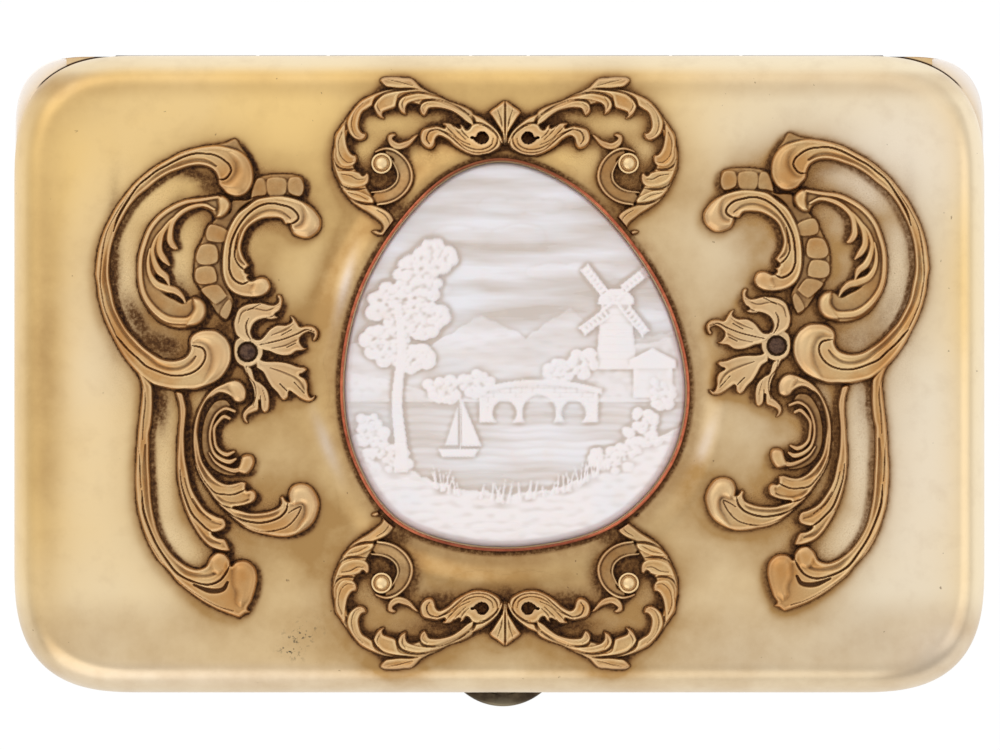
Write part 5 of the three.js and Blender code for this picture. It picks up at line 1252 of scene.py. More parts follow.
class CASE_OT_scroll_mounts(Operator):
    """Makes the four cast scroll mounts, with hollows darkened by grime and painted shade, and worn ridges with
    a painted highlight
    """

    bl_idname = "case.scroll_mounts"
    bl_label = "Scroll mounts"

    def execute(self, context):
        sizes, looks = context.scene.case_sizes, context.scene.case_looks
        finish = cast_finish(looks)
        for name, place in PLACES.items():
            c = drawn_casting(name, sizes.casting_step)
            xx, yy = np.meshgrid(c.x, c.y)
            x, y = place(xx, yy)
            clear = outside_egg(x, y) - (EGG_GAP + BEZEL_WALL + 0.06)
            h = np.where(clear < 0, -c.FOOT, np.minimum(c.h, clear * 4))
            h = np.clip(h, -c.FOOT, CASTING_TOP)
            used, quad = cells(h > -0.2)
            if name in MIRRORED:
                quad = quad[:, ::-1]
            verts = np.stack([x, y, lid_top(x, y) + h], -1)[used]
            obj = make_object(name.replace("mount", "scrolls"), verts, quad.tolist(), finish)

            solid = np.maximum(h, 0)
            near, around, broad = (blur(solid, radius, c.step) for radius in (0.16, 0.26, 0.55))
            inside = blur((h > 0.3).astype(float), 0.5, c.step)
            groove = np.clip((near - solid) / 0.10, 0, 1) ** 1.1 + 0.8 * np.clip((broad - solid) / 0.5, 0, 1)
            rubbed = 0.45 * highest(x, y, RUBBED_HEADS)
            if name in SIDE_MOUNTS:
                rubbed = np.maximum(rubbed, 0.8 * blob(xx, yy, -27.3, 2.6, 3.6, 4.6))
            # paler ridges are worn gilding with a painted highlight; the grooves and the foot get grime and
            # painted shade, and the lower parts painted shade
            values = {
                "worn": 0.65 * np.clip((solid - around) / 0.19, 0, 1) * smoothstep(solid, 0.3, 0.7),
                "grime_and_shade": np.maximum(np.clip(groove, 0, 1), 1 - smoothstep(h, 0.02, 0.3)),
                "low": 0.8 * (1 - smoothstep(h, 0.3, 0.95)),
                "shade": (1 - smoothstep(inside, 0.55, 0.97)) * smoothstep(h, 0.3, 0.9),
                "rubbed": rubbed,
                "amber": 0.6 * highest(x, y, AMBER_HEADS),
            }
            for attribute, value in values.items():
                set_attribute(obj, attribute, value[used])
            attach(obj, "lid")
            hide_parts(name)
        return {"FINISHED"}


class GeometryTree(Nodes):
    """A geometry node tree whose inputs are named lengths in millimetres or counts, and a material"""

    def __init__(self, name, **inputs):
        super().__init__(bpy.data.node_groups.new(name, "GeometryNodeTree"))
        new_socket = self.tree.interface.new_socket
        new_socket("Geometry", in_out="INPUT", socket_type="NodeSocketGeometry")
        for label, value in inputs.items():
            if isinstance(value, int):
                new_socket(label, in_out="INPUT", socket_type="NodeSocketInt").default_value = value
            else:
                new_socket(label, in_out="INPUT", socket_type="NodeSocketFloat").default_value = value * MM
        new_socket("Material", in_out="INPUT", socket_type="NodeSocketMaterial")
        new_socket("Geometry", in_out="OUTPUT", socket_type="NodeSocketGeometry")
        self.given = self.add("NodeGroupInput")

    def circle(self, radius, resolution):
        return self.add("GeometryNodeCurvePrimitiveCircle", {"Radius": radius, "Resolution": resolution})[0]

    def close(self, geometry):
        """Ends the tree: its instances made real, in the material that it is given"""
        real = self.add("GeometryNodeRealizeInstances", {0: geometry})[0]
        painted = self.add("GeometryNodeSetMaterial", {"Geometry": real, "Material": self.given["Material"]})[0]
        self.put(self.tree.nodes.new("NodeGroupOutput").inputs[0], painted)
        return self.tree


def grow(context, name, verts, edges, tree, inputs, attributes=(), angle=40):
    """Runs a tree on a frame of points and edges, in millimetres, and keeps the mesh it makes"""
    mesh = bpy.data.meshes.new(name + "_frame")
    mesh.from_pydata([tuple(np.array(v) * MM) for v in verts], edges, [])
    obj = bpy.data.objects.new(name, mesh)
    for label, values in dict(attributes).items():
        set_attribute(obj, label, values)
    context.scene.collection.objects.link(obj)
    modifier = obj.modifiers.new("tree", "NODES")
    modifier.node_group = tree
    for item in tree.interface.items_tree:
        if item.in_out == "INPUT" and item.name in inputs:
            modifier[item.identifier] = inputs[item.name]
    apply_modifiers(context, obj)
    obj.data.shade_smooth()
    obj.data.set_sharp_from_angle(angle=math.radians(angle))
    return obj


def tube_tree():
    """Round bars along edges; an attribute shares out their radius, so that ends can be chamfered"""
    t = GeometryTree("bars_along_edges", Radius=1.0, Sides=32)
    share = t.add("GeometryNodeInputNamedAttribute", {"Name": "share"}, data_type="FLOAT")[0]
    curve = t.add("GeometryNodeMeshToCurve", {0: t.given["Geometry"]})[0]
    curve = t.add("GeometryNodeSetCurveRadius", {"Curve": curve, "Radius": share})[0]
    circle = t.circle(t.given["Radius"], t.given["Sides"])
    sockets = {"Curve": curve, "Profile Curve": circle, "Scale": share, "Fill Caps": True}
    return t.close(t.add("GeometryNodeCurveToMesh", sockets)[0])


class CASE_OT_hinge(Operator):
    """Makes the hinge's knuckles along their pin"""

    bl_idname = "case.hinge"
    bl_label = "Hinge"

    def execute(self, context):
        tree = tube_tree()
        finish = gilt_finish(context.scene.case_looks, "hinge_gilt", 0.5)
        inputs = {"Radius": KNUCKLE_RADIUS * MM, "Sides": 32, "Material": finish}
        narrow = 1 - BREAK / KNUCKLE_RADIUS
        for name, body, count in (("base_knuckles", "base", 4), ("lid_knuckles", "lid", 3)):
            nodes = [f"{body}_knuckle_{k + 1}" for k in range(count)]
            verts, edges = [], []
            for node in nodes:
                x0, x1 = (v.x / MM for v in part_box(node))
                n = len(verts)
                edges += [(n, n + 1), (n + 1, n + 2), (n + 2, n + 3)]
                verts += [(x, HINGE_Y, PARTING) for x in (x0, x0 + BREAK, x1 - BREAK, x1)]
            share = [narrow, 1, 1, narrow] * count
            knuckles = grow(context, name, verts, edges, tree, inputs, {"share": share})
            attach(knuckles, body)
            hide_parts(*nodes)
        return {"FINISHED"}


def stud_tree():
    """A turned head on each point: a flattened ball, a ring round its foot and a pin under it"""
    t = GeometryTree("turned_heads", Radius=0.75, Height=0.6, Ring=0.2, Pin=1.6)
    radius, pin = t.given["Radius"], t.given["Pin"]
    ball = t.add("GeometryNodeMeshUVSphere", {"Segments": 32, "Rings": 20, "Radius": 1.0})["Mesh"]
    size = t.add("ShaderNodeCombineXYZ", {0: radius, 1: radius, 2: t.given["Height"]})[0]
    head = t.add("GeometryNodeTransform", {"Geometry": ball, "Scale": size})[0]
    bar = t.add("GeometryNodeMeshCylinder", {"Vertices": 16, "Radius": 0.4 * MM, "Depth": pin})["Mesh"]
    down = t.add("ShaderNodeCombineXYZ", {2: t.math("MULTIPLY", pin, -0.5)})[0]
    shank = t.add("GeometryNodeTransform", {"Geometry": bar, "Translation": down})[0]
    path = t.circle(t.math("MULTIPLY", radius, 1.42), 40)
    sockets = {"Curve": path, "Profile Curve": t.circle(t.given["Ring"], 12)}
    ring = t.add("GeometryNodeCurveToMesh", sockets)[0]
    whole = t.tree.nodes.new("GeometryNodeJoinGeometry")
    for piece in (head, shank, ring):
        t.put(whole.inputs[0], piece)
    sockets = {"Points": t.given["Geometry"], "Instance": whole.outputs[0]}
    return t.close(t.add("GeometryNodeInstanceOnPoints", sockets)[0])


def set_heads(context, name, places, lift, finish, **lengths):
    """Turned heads on the castings, so far over the lid; the lengths are the tree's inputs"""
    at = [(x, y, float(lid_top(np.array(x), np.array(y))) + lift) for x, y in places]
    inputs = {label: value * MM for label, value in lengths.items()}
    return grow(context, name, at, [], stud_tree(), {**inputs, "Material": finish})


class CASE_OT_studs(Operator):
    """Sets the studs in the end mounts' spirals, and the dark rivets in the flowers' eyes"""

    bl_idname = "case.studs"
    bl_label = "Studs and rivets"

    def execute(self, context):
        finish = cast_finish(context.scene.case_looks)
        x, y = STUD
        places = [PLACES[m](px, y) for m in ("top_mount", "bottom_mount") for px in (x, 2 * END_MIDDLE - x)]
        studs = set_heads(
            context, "mount_studs", places, 0.95, finish, Radius=0.74, Height=0.5, Ring=0.13, Pin=1.7
        )
        set_attribute(studs, "worn", np.full(len(studs.data.vertices), 0.75))
        names = [f"stud_{v}_{h}" for v in ("top", "bottom") for h in ("left", "right")]
        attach(studs, "lid")
        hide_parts(*names)
        eyes = [PLACES[m](*FLOWER_EYE) for m in SIDE_MOUNTS]
        rivets = set_heads(
            context, "flower_rivets", eyes, 0.45, dark_finish(), Radius=0.95, Height=0.45, Ring=0.02, Pin=1.2
        )
        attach(rivets, "lid")
        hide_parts("left_rivet", "right_rivet")
        return {"FINISHED"}


def bezel_tree():
    """A strip with rounded corners along a closed curve"""
    t = GeometryTree("strip_along_curve", Width=0.6, Height=0.9, Rounding=0.2, Spacing=0.4)
    curve = t.add("GeometryNodeMeshToCurve", {0: t.given["Geometry"]})[0]
    sockets = {"Curve": curve, "Length": t.given["Spacing"]}
    even = t.add("GeometryNodeResampleCurve", sockets, mode="LENGTH")[0]
    sockets = {"Width": t.given["Width"], "Height": t.given["Height"]}
    section = t.add("GeometryNodeCurvePrimitiveQuadrilateral", sockets)[0]
    sockets = {"Curve": section, "Count": 4, "Radius": t.given["Rounding"]}
    rounded = t.add("GeometryNodeFilletCurve", sockets, mode="POLY")[0]
    return t.close(t.add("GeometryNodeCurveToMesh", {"Curve": even, "Profile Curve": rounded})[0])


def ridge(x, knots, rough=0.0, seed=0):
    """A skyline through some points, made uneven by a few waves"""
    y = np.interp(x, *zip(*knots))
    rng = np.random.default_rng(seed)
    for k in range(7):
        y = y + rough * rng.uniform(0.3, 1) / (1 + k * 0.6) * np.sin(x * (0.5 + 0.85 * k) + rng.uniform(0, 6.3))
    return y


def foliage(x, y, cx, cy, rx, ry, seed, count, size):
    """Tufts of leaves packed in an ellipse: 0 to 1"""
    rng = np.random.default_rng(seed)
    out = np.zeros(x.shape)
    for _ in range(count):
        t, r = rng.uniform(0, 2 * math.pi), math.sqrt(rng.uniform(0, 1))
        px, py = cx + rx * r * math.cos(t), cy + ry * r * math.sin(t)
        s = size * rng.uniform(0.6, 1.25)
        d = np.hypot(x - px, (y - py) * 1.15) / s
        out = np.maximum(out, np.sqrt(np.clip(1 - d * d, 0, 1)) * rng.uniform(0.7, 1.0))
    return out


def grain(x, y, scale, seed):
    """Fine unevenness, from waves in many directions"""
    rng = np.random.default_rng(seed)
    out = np.zeros(x.shape)
    for _ in range(14):
        t, k = rng.uniform(0, 2 * math.pi), scale * rng.uniform(0.6, 1.6)
        out += np.sin(k * (x * math.cos(t) + y * math.sin(t)) + rng.uniform(0, 6.3))
    return out / 3.7


def courses(v, line):
    """True on the joints between rows of stones"""
    return np.abs((v % 1) - 0.5) > line


def in_box(x, y, x0, x1, y0, y1):
    return (x > x0) & (x < x1) & (y > y0) & (y < y1)


# The landscape's parts, on the plaque: (x, y) along skylines, and (x, y, half-width, half-height)
CLOUDS = [(-4, 15.5, 7, 1.0), (9, 11.4, 6, 0.8), (2, 19, 4.5, 0.7), (12.5, 6.6, 5, 0.7), (-9, 9.5, 4, 0.6)]
FAR_HILLS = [(-20, 2), (-13, 5), (-8, 3), (-2, 6.8), (3, 4), (8, 7.5), (13, 3.5), (21, 5)]
NEAR_HILLS = [(-20, 1), (-12, -1), (-6, -2.5), (1, -2.2), (6, -0.5), (12, 2.6), (21, 4.5)]
BANK = [(-20, -6.5), (-12, -10), (-6, -12.6), (1, -13.8), (8, -12.4), (14, -9), (21, -5.5)]
CROWNS = [
    (-11.5, 7.5, 3.0, 2.4), (-9.3, 10.6, 2.6, 2.2), (-12.6, 3.4, 2.4, 1.9), (-8.7, 6.2, 2.3, 1.7),
    (-7.4, 13.2, 2.0, 1.6), (-9.6, 1.8, 1.8, 1.2),
]
BUSHES = [
    (-14.6, -6.6, 1.6, 2.2), (-12.6, -9.6, 2.4, 1.5), (16.2, -6.5, 2.0, 2.4), (12.9, -9.6, 2.4, 1.4),
    (6.8, 0.1, 1.4, 1.2), (9.6, 1.2, 1.5, 1.3), (-2.6, -1.0, 1.5, 1.2), (-6.2, -1.6, 1.9, 1.3),
    (18.4, -2, 1.2, 2),
]


def landscape(x, y):
    """The heights of a carved lake scene with hills, a bridge, a mill, a sailing boat and trees"""
    h = np.zeros(x.shape)
    rng = np.random.default_rng(4)

    def layer(mask, value):
        """An even height lies over what is lower; a worked one takes its place"""
        nonlocal h
        h = np.where(mask, np.maximum(h, value) if np.isscalar(value) else value, h)

    for cx, cy, rx, ry in CLOUDS:
        puff = np.zeros(x.shape)
        for _ in range(9):
            px, py = cx + rng.uniform(-1, 1) * rx, cy + rng.uniform(-0.5, 0.5) * ry
            round_ = 1 - ((x - px) / (rx * 0.35)) ** 2 - ((y - py) / ry) ** 2
            puff = np.maximum(puff, np.sqrt(np.clip(round_, 0, 1)))
        h = np.maximum(h, 0.06 * puff)
    far = ridge(x, FAR_HILLS, 0.18, 1)
    layer(y < far, 0.10 + 0.05 * np.clip((far - y) / 4, 0, 1) + 0.01 * grain(x, 2.2 * y, 2.6, 11))
    near = ridge(x, NEAR_HILLS, 0.16, 2)
    layer(y < near, 0.2 + 0.014 * grain(x, 1.6 * y, 3.4, 12))
    # the lake, with ripples
    layer((y < -3.1) & (y > -13.5), 0.09 + 0.018 * np.sin(y * 7 + 0.8 * np.sin(x * 0.9)))
    # a stone bridge over its narrow end
    deck = -0.9 - 0.022 * (x - 4.5) ** 2
    arches = np.zeros(x.shape, bool)
    for cx, r in ((0.6, 1.35), (4.5, 1.9), (8.4, 1.35)):
        arches |= (np.hypot(x - cx, (y + 4.4) * 0.92) < r) & (y > -5.5)
    joints = 0.03 * courses(y * 1.9, 0.42) + 0.03 * courses(x * 0.8 + 0.5 * np.floor(y * 1.9), 0.44)
    layer(in_box(x, y, -2.2, 11.2, -5.4, deck) & ~arches, 0.33 - joints)
    layer((np.abs(y - deck) < 0.28) & (x > -2.6) & (x < 11.6), 0.4)
    # a mill tower on the right hill, under a rounded cap, with its sails
    half = 1.75 + 0.07 * (8 - y)
    tower = 0.36 - 0.1 * (np.abs(x - 13.2) / half) ** 2 - 0.02 * courses(y * 1.2, 0.45)
    layer((np.abs(x - 13.2) < half) & (y > 0.6) & (y < 8), tower)
    layer((((x - 13.2) / 2.1) ** 2 + ((y - 8) / 1.7) ** 2 < 1) & (y > 7.9), 0.4)
    for turn in (38, 128, 218, 308):
        c, s = math.cos(math.radians(turn)), math.sin(math.radians(turn))
        u, v = (x - 13.1) * c + (y - 8.3) * s, -(x - 13.1) * s + (y - 8.3) * c
        layer((u > 0.2) & (u < 5.2) & (np.abs(v) < 0.12), 0.46)
        layer(in_box(u, v, 1.4, 5.1, 0.1, 1.0), np.where(courses(u * 1.7, 0.3) | (v > 0.86), 0.42, 0.3))
    # a low house under the mill
    layer(in_box(x, y, 15.2, 19.6, -2.6, 0.8), 0.34)
    layer(in_box(x, y, 14.8, 20, 0.7, 2.9 - 0.5 * np.abs(x - 17.3)), 0.4)
    # a sailing boat: its hull, mast and two sails
    layer((np.abs(x + 4.6) < 2.3 + 0.5 * (y + 8.4)) & (y > -9.3) & (y < -8.4), 0.34)
    layer((np.abs(x + 4.4) < 0.09) & (y > -8.5) & (y < -2.6), 0.36)
    layer(in_box(x, y, -4.2, -4.2 + 0.42 * (-2.9 - y), -8.1, -2.9), 0.32 + 0.02 * (x + 4))
    layer(in_box(x, y, -4.65 - 0.33 * (-3.6 - y), -4.65, -8.0, -3.6), 0.28)
    # the near bank, with reeds
    bank = ridge(x, BANK, 0.22, 3)
    layer(y < bank, 0.27 + 0.08 * np.clip((bank - y) / 4, 0, 1) + 0.022 * grain(x, 2 * y, 2.2, 13))
    for _ in range(46):
        root, top = rng.uniform(-9, 15), rng.uniform(1.0, 2.6)
        lean = rng.uniform(-0.35, 0.35)
        t = (y - (float(np.interp(root, *zip(*BANK))) - 0.8)) / top
        layer((t > 0) & (t < 1) & (np.abs(x - root - lean * t * top) < 0.13 * (1.1 - t)), 0.42)
    # a tall tree on the left, and small ones
    layer((np.abs(x + 11.3 - 0.25 * np.sin(y * 0.5)) < 0.55 - 0.02 * y) & (y > -11) & (y < 8), 0.44)
    leafy = 0.035 * grain(x, y, 7.5, 14)
    leaves = np.max([foliage(x, y, *crown, 20 + k, 46, 0.95) for k, crown in enumerate(CROWNS)], axis=0)
    h = np.where(leaves > 0.02, np.maximum(h, 0.2 + (0.26 + leafy) * leaves), h)
    for k, place in enumerate(BUSHES):
        bush = foliage(x, y, *place, 60 + k, 34, 0.7)
        h = np.where(bush > 0.02, np.maximum(h, 0.18 + (0.24 + leafy) * bush), h)
    return h


class CASE_OT_cameo(Operator):
    """Carves the pearl plaque and sets it in its bezel"""

    bl_idname = "case.cameo"
    bl_label = "Cameo"

    def execute(self, context):
        sizes, looks = context.scene.case_sizes, context.scene.case_looks
        low, high = (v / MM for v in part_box("cameo_plaque"))
        n = sizes.plaque_grid
        # a square grid drawn out to a disc, and then to the egg
        u = np.linspace(-1, 1, n + 1)
        a, b = np.meshgrid(u, u)
        r = np.maximum(np.abs(a), np.abs(b))
        wide = np.abs(a) > np.abs(b)
        eighth = np.where(wide, b / np.where(a == 0, 1, a), a / np.where(b == 0, 1, b)) * math.pi / 4
        sideways = np.where(a > 0, 0, math.pi) + eighth
        turn = np.where(wide, sideways, np.where(b > 0, 1, -1) * math.pi / 2 - eighth)
        reach = egg_radius(turn) * r
        x, y = EGG_MIDDLE[0] + reach * np.cos(turn), EGG_MIDDLE[1] + reach * np.sin(turn)
        # the carving, on an even grid of its own
        g = 0.1
        gx, gy = np.arange(-18.5, 22, g), np.arange(-20.5, 25, g)
        carved = blur(landscape(*np.meshgrid(gx, gy)), 0.07, g)
        hollow = np.clip((blur(carved, 0.35, g) - carved) / 0.06, 0, 1)
        relief, deep = (look_up(v, (x - gx[0]) / g, (y - gy[0]) / g) for v in (carved, hollow))
        top = high.z - 0.5 + relief * (1 - smoothstep(r, 0.955, 0.99)) - 0.25 * smoothstep(r, 0.985, 1.0)
        verts = np.stack([x.ravel(), y.ravel(), top.ravel()], 1)
        index = np.arange((n + 1) ** 2).reshape(n + 1, n + 1)
        faces = np.stack([index[:-1, :-1], index[:-1, 1:], index[1:, 1:], index[1:, :-1]], -1)
        faces = faces.reshape(-1, 4).tolist()
        # its side and its flat back
        loop = np.concatenate([index[0, :-1], index[:-1, -1], index[-1, :0:-1], index[:0:-1, 0]])
        m = len(verts)
        verts = np.vstack([verts, np.column_stack([verts[loop][:, :2], np.full(len(loop), low.z)])])
        k = np.arange(len(loop))
        after = (k + 1) % len(loop)
        faces += np.stack([loop[after], loop[k], m + k, m + after], 1).tolist()
        faces.append((m + k)[::-1].tolist())
        plaque = make_object("pearl_plaque", verts, faces, pearl_finish(looks), angle=60)
        for name, value in (("relief", relief), ("hollow", deep)):
            set_attribute(plaque, name, np.concatenate([value.ravel(), np.zeros(len(loop))]))
        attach(plaque, "lid")
        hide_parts("cameo_plaque")

        low, high = (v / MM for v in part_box("cameo_bezel"))
        count = 240
        turn = np.linspace(-math.pi, math.pi, count, endpoint=False)
        r = egg_radius(turn) + EGG_GAP + sizes.bezel_width / 2 - 0.04
        ring = [EGG_MIDDLE[0] + r * np.cos(turn), EGG_MIDDLE[1] + r * np.sin(turn)]
        ring = raise_to(np.stack(ring, 1), (low.z + high.z) / 2)
        edges = [(i, (i + 1) % count) for i in range(count)]
        inputs = {
            "Width": sizes.bezel_width * MM, "Height": (high.z - low.z) * MM, "Rounding": 0.15 * MM,
            "Spacing": 0.4 * MM, "Material": rose_finish(looks),
        }
        bezel = grow(context, "cameo_ring", ring, edges, bezel_tree(), inputs)
        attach(bezel, "lid")
        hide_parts("cameo_bezel")
        return {"FINISHED"}


class CASE_OT_button(Operator):
    """Makes the thumb button: a crescent with a chamfered rim, on its tongue"""

    bl_idname = "case.button"
    bl_label = "Thumb button"

    def execute(self, context):
        low, high = (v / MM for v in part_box("thumb_button"))
        front, half, middle = -DEPTH / 2, BUTTON_HALF, BUTTON_MIDDLE
        inner = front + WALL + 0.2
        tongue, stem = 1.9, 6  # how far the tongue reaches inwards and to each side

        def ring(z, chamfer):
            sagitta = BUTTON_PROUD - chamfer
            radius = (half**2 + sagitta**2) / (2 * sagitta)
            y = front - 0.05 + radius - sagitta
            swing = math.asin(half / radius) * np.linspace(-1, 1, 41)
            rows = [(middle + radius * math.sin(t), y - radius * math.cos(t)) for t in swing]
            back = [(half, 0), (stem, 0), (stem, tongue), (-stem, tongue), (-stem, 0), (-half, 0)]
            return raise_to(np.array(rows + [(middle + dx, inner + dy) for dx, dy in back]), z)

        deep = 0.34
        rings = [ring(low.z, deep), ring(low.z + 0.1, deep * 0.45), ring(low.z + deep, 0)]
        rings += [ring(high.z - deep, 0), ring(high.z - 0.1, deep * 0.45), ring(high.z, deep)]
        verts, faces = skin(rings)
        finish = oxidised_finish(context.scene.case_looks)
        button = make_object("thumb_crescent", verts, faces, finish, angle=30)
        rim = -front + BUTTON_PROUD
        set_attribute(button, "worn", 0.8 * smoothstep(-verts[:, 1], rim - 0.75, rim + 0.1))
        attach(button, "button")
        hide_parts("thumb_button")
        return {"FINISHED"}


class CASE_OT_inside(Operator):
    """Finishes the rims, the latch and the keepers inside, and makes the latch's leaf spring"""

    bl_idname = "case.inside"
    bl_label = "Inside metal"

    def execute(self, context):
        looks = context.scene.case_looks
        gilt, dull = gilt_finish(looks, "inner_gilt", 0.05), gilt_finish(looks, "bearer_gilt", 0.35)
        steel = steel_finish()
        for name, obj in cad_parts.items():
            if not obj.hide_render:
                of_steel = name in ("hinge_pin", "latch_hook", "latch_spring")
                obj.data.materials.clear()
                obj.data.materials.append(steel if of_steel else dull if name.endswith("bearer") else gilt)
        low, high = (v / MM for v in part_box("latch_spring"))
        c = 0.06  # the chamfer along the leaf
        section = [
            (low.y, low.z + c), (low.y + c, low.z), (high.y - c, low.z), (high.y, low.z + c),
            (high.y, high.z - c), (high.y - c, high.z), (low.y + c, high.z), (low.y, high.z - c),
        ]
        rings = [np.array([(x, y, z) for y, z in section]) for x in np.linspace(low.x, high.x, 57)]
        verts, faces = skin(rings)
        leaf = make_object("spring_leaf", verts, faces, steel, angle=30)
        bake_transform(leaf)
        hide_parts("latch_spring")
        return {"FINISHED"}


def rib_tree():
    """A strip along a path, whose outer face is drawn in ribs by moving the points of its section"""
    t = GeometryTree("ribbed_strip", Ribs=20, Width=9.5, Depth=0.1, Thickness=0.5)
    sockets = {"Width": t.given["Width"], "Height": t.given["Thickness"]}
    sheet = t.add("GeometryNodeCurvePrimitiveQuadrilateral", sockets)[0]
    fine = t.add("GeometryNodeResampleCurve", {"Curve": sheet, "Length": 0.12 * MM}, mode="LENGTH")[0]
    where = t.add("ShaderNodeSeparateXYZ", {0: t.add("GeometryNodeInputPosition")[0]})
    turns = t.math("MULTIPLY", t.math("DIVIDE", where["X"], t.given["Width"]), 2 * math.pi)
    wave = t.math("COSINE", t.math("MULTIPLY", turns, t.given["Ribs"]))
    rise = t.math("MULTIPLY", t.math("MULTIPLY", wave, t.math("SIGN", where["Y"])), t.given["Depth"])
    offset = t.add("ShaderNodeCombineXYZ", {1: rise})[0]
    ripple = t.add("GeometryNodeSetPosition", {"Geometry": fine, "Offset": offset})[0]
    curve = t.add("GeometryNodeMeshToCurve", {0: t.given["Geometry"]})[0]
    sockets = {"Curve": curve, "Profile Curve": ripple, "Fill Caps": True}
    return t.close(t.add("GeometryNodeCurveToMesh", sockets)[0])


class CASE_OT_bands(Operator):
    """Weaves the two ribbed elastic bands round their keeper bars"""

    bl_idname = "case.bands"
    bl_label = "Elastic bands"

    def execute(self, context):
        sizes, looks = context.scene.case_sizes, context.scene.case_looks
        low, high = (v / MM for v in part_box("base_band"))
        finish = elastic_finish(looks, (low.x + high.x) / 2, high.x - low.x - 0.2, sizes.band_ribs)
        tree = rib_tree()
        for body in ("base", "lid"):
            low, high = (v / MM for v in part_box(f"{body}_band"))
            tall = high.z - low.z
            middle = (low.z + high.z) / 2
            r = tall / 2 - 0.3
            y0, y1 = low.y + tall / 2, high.y - tall / 2
            side = 1 if body == "base" else -1
            turn = np.linspace(0, math.pi, 13)
            # a tail under the front keeper, round it, over the tray, and the same at the back
            line = [(y, middle - side * r) for y in np.linspace(y0 + 3.6, y0 + 0.6, 4)]
            line += [(y0 - r * math.sin(t), middle + side * r * math.cos(t)) for t in turn[::-1]]
            line += [(y, middle + side * r) for y in np.linspace(y0, y1, 30)[1:-1]]
            line += [(y1 + r * math.sin(t), middle + side * r * math.cos(t)) for t in turn]
            line += [(y, middle - side * r) for y in np.linspace(y1 - 0.6, y1 - 3.6, 4)]
            verts = [((low.x + high.x) / 2, y, z) for y, z in line]
            edges = [(i, i + 1) for i in range(len(line) - 1)]
            inputs = {
                "Ribs": sizes.band_ribs, "Width": (high.x - low.x - 0.2) * MM, "Depth": 0.1 * MM,
                "Thickness": 0.36 * MM, "Material": finish,
            }
            band = grow(context, f"{body}_elastic", verts, edges, tree, inputs, angle=80)
            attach(band, body)
            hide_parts(f"{body}_band")
        return {"FINISHED"}


class CASE_OT_stage(Operator):
    """Sets the white floor, the soft lamps and the camera straight above"""

    bl_idname = "case.stage"
    bl_label = "Stage"

    def execute(self, context):
        scene = context.scene
        stage = scene.case_stage

        # white paper, which glows where it is seen
        f = Finish("white_paper")
        f.color = rgb(240, 240, 240)
        ray = f.add("ShaderNodeLightPath")
        seen = f.math("MULTIPLY", f.math("MAXIMUM", ray["Is Camera Ray"], ray["Is Glossy Ray"]), 0.96)
        glow = f.add("ShaderNodeEmission", {"Strength": 1.02})[0]
        mix = f.add("ShaderNodeMixShader", {0: seen, 1: f.shader.outputs[0], 2: glow})[0]
        f.put(f.tree.nodes["Material Output"].inputs[0], mix)
        corners = [(x * 3000, y * 3000, -0.02) for x, y in ((-1, -1), (1, -1), (1, 1), (-1, 1))]
        floor = make_object("floor", corners, [(0, 1, 2, 3)], f.done(Roughness=0.9), smooth=False)

        # a sky that brightens towards one side
        world = bpy.data.worlds.new("studio")
        world.use_nodes = True
        scene.world = world
        w = Nodes(world.node_tree)
        sockets = {0: w.add("ShaderNodeTexCoord")["Generated"], 1: (-0.14, 0.36, 0.3)}
        toward = w.add("ShaderNodeVectorMath", sockets, operation="DOT_PRODUCT")["Value"]
        ramp = w.tree.nodes.new("ShaderNodeValToRGB")
        w.put(ramp.inputs[0], w.math("ADD", toward, 0.5))
        spots = ramp.color_ramp.elements
        levels = ((0.1, 0.52), (0.5, 0.72), (0.8, 0.92), (1.0, 1.16))
        for position, _ in levels[1:-1]:
            spots.new(position)
        for spot, (position, level) in zip(spots, levels):
            spot.position, spot.color = position, (level, level, level * 1.01, 1)
        background = w.tree.nodes["Background"]
        w.put(background.inputs["Color"], ramp.outputs[0])
        w.put(background.inputs["Strength"], stage.sky)

        def lamp(name, place, size, power):
            """A round lamp that points at the case"""
            data = bpy.data.lights.new(name, "AREA")
            data.shape, data.size, data.energy = "DISK", size, power
            obj = bpy.data.objects.new(name, data)
            scene.collection.objects.link(obj)
            x, y, z = obj.location = place
            obj.rotation_euler = (math.acos(z / math.hypot(x, y, z)), 0, math.atan2(y, x) + math.pi / 2)

        lamp("key", (-0.55, 0.65, 0.8), 1.0, stage.key)
        lamp("fill", (0.8, -0.25, 0.6), 0.9, stage.fill)
        lamp("low", (-0.4, -0.9, 0.45), 1.2, stage.fill * 3.2)

        data = bpy.data.cameras.new("above")
        data.lens, data.sensor_width = stage.lens, SENSOR
        data.clip_start, data.clip_end = 0.05, 20
        camera = bpy.data.objects.new("above", data)
        scene.collection.objects.link(camera)
        across = PHOTO_WIDTH / PHOTO_SCALE * MM
        camera.location = (0.00007, -0.00011, 0.0125 + across * stage.lens / SENSOR)
        scene.camera = camera
        scene.view_settings.view_transform = "Standard"
        return {"FINISHED"}


# Settings and panel


def colour(name, description, r, g, b):
    return FloatVectorProperty(
        name=name, description=description, subtype="COLOR", size=4, min=0, max=1, default=rgb(r, g, b)
    )


def number(kind, name, description, default, low, high, **more):
    return kind(name=name, description=description, default=default, min=low, max=high, **more)


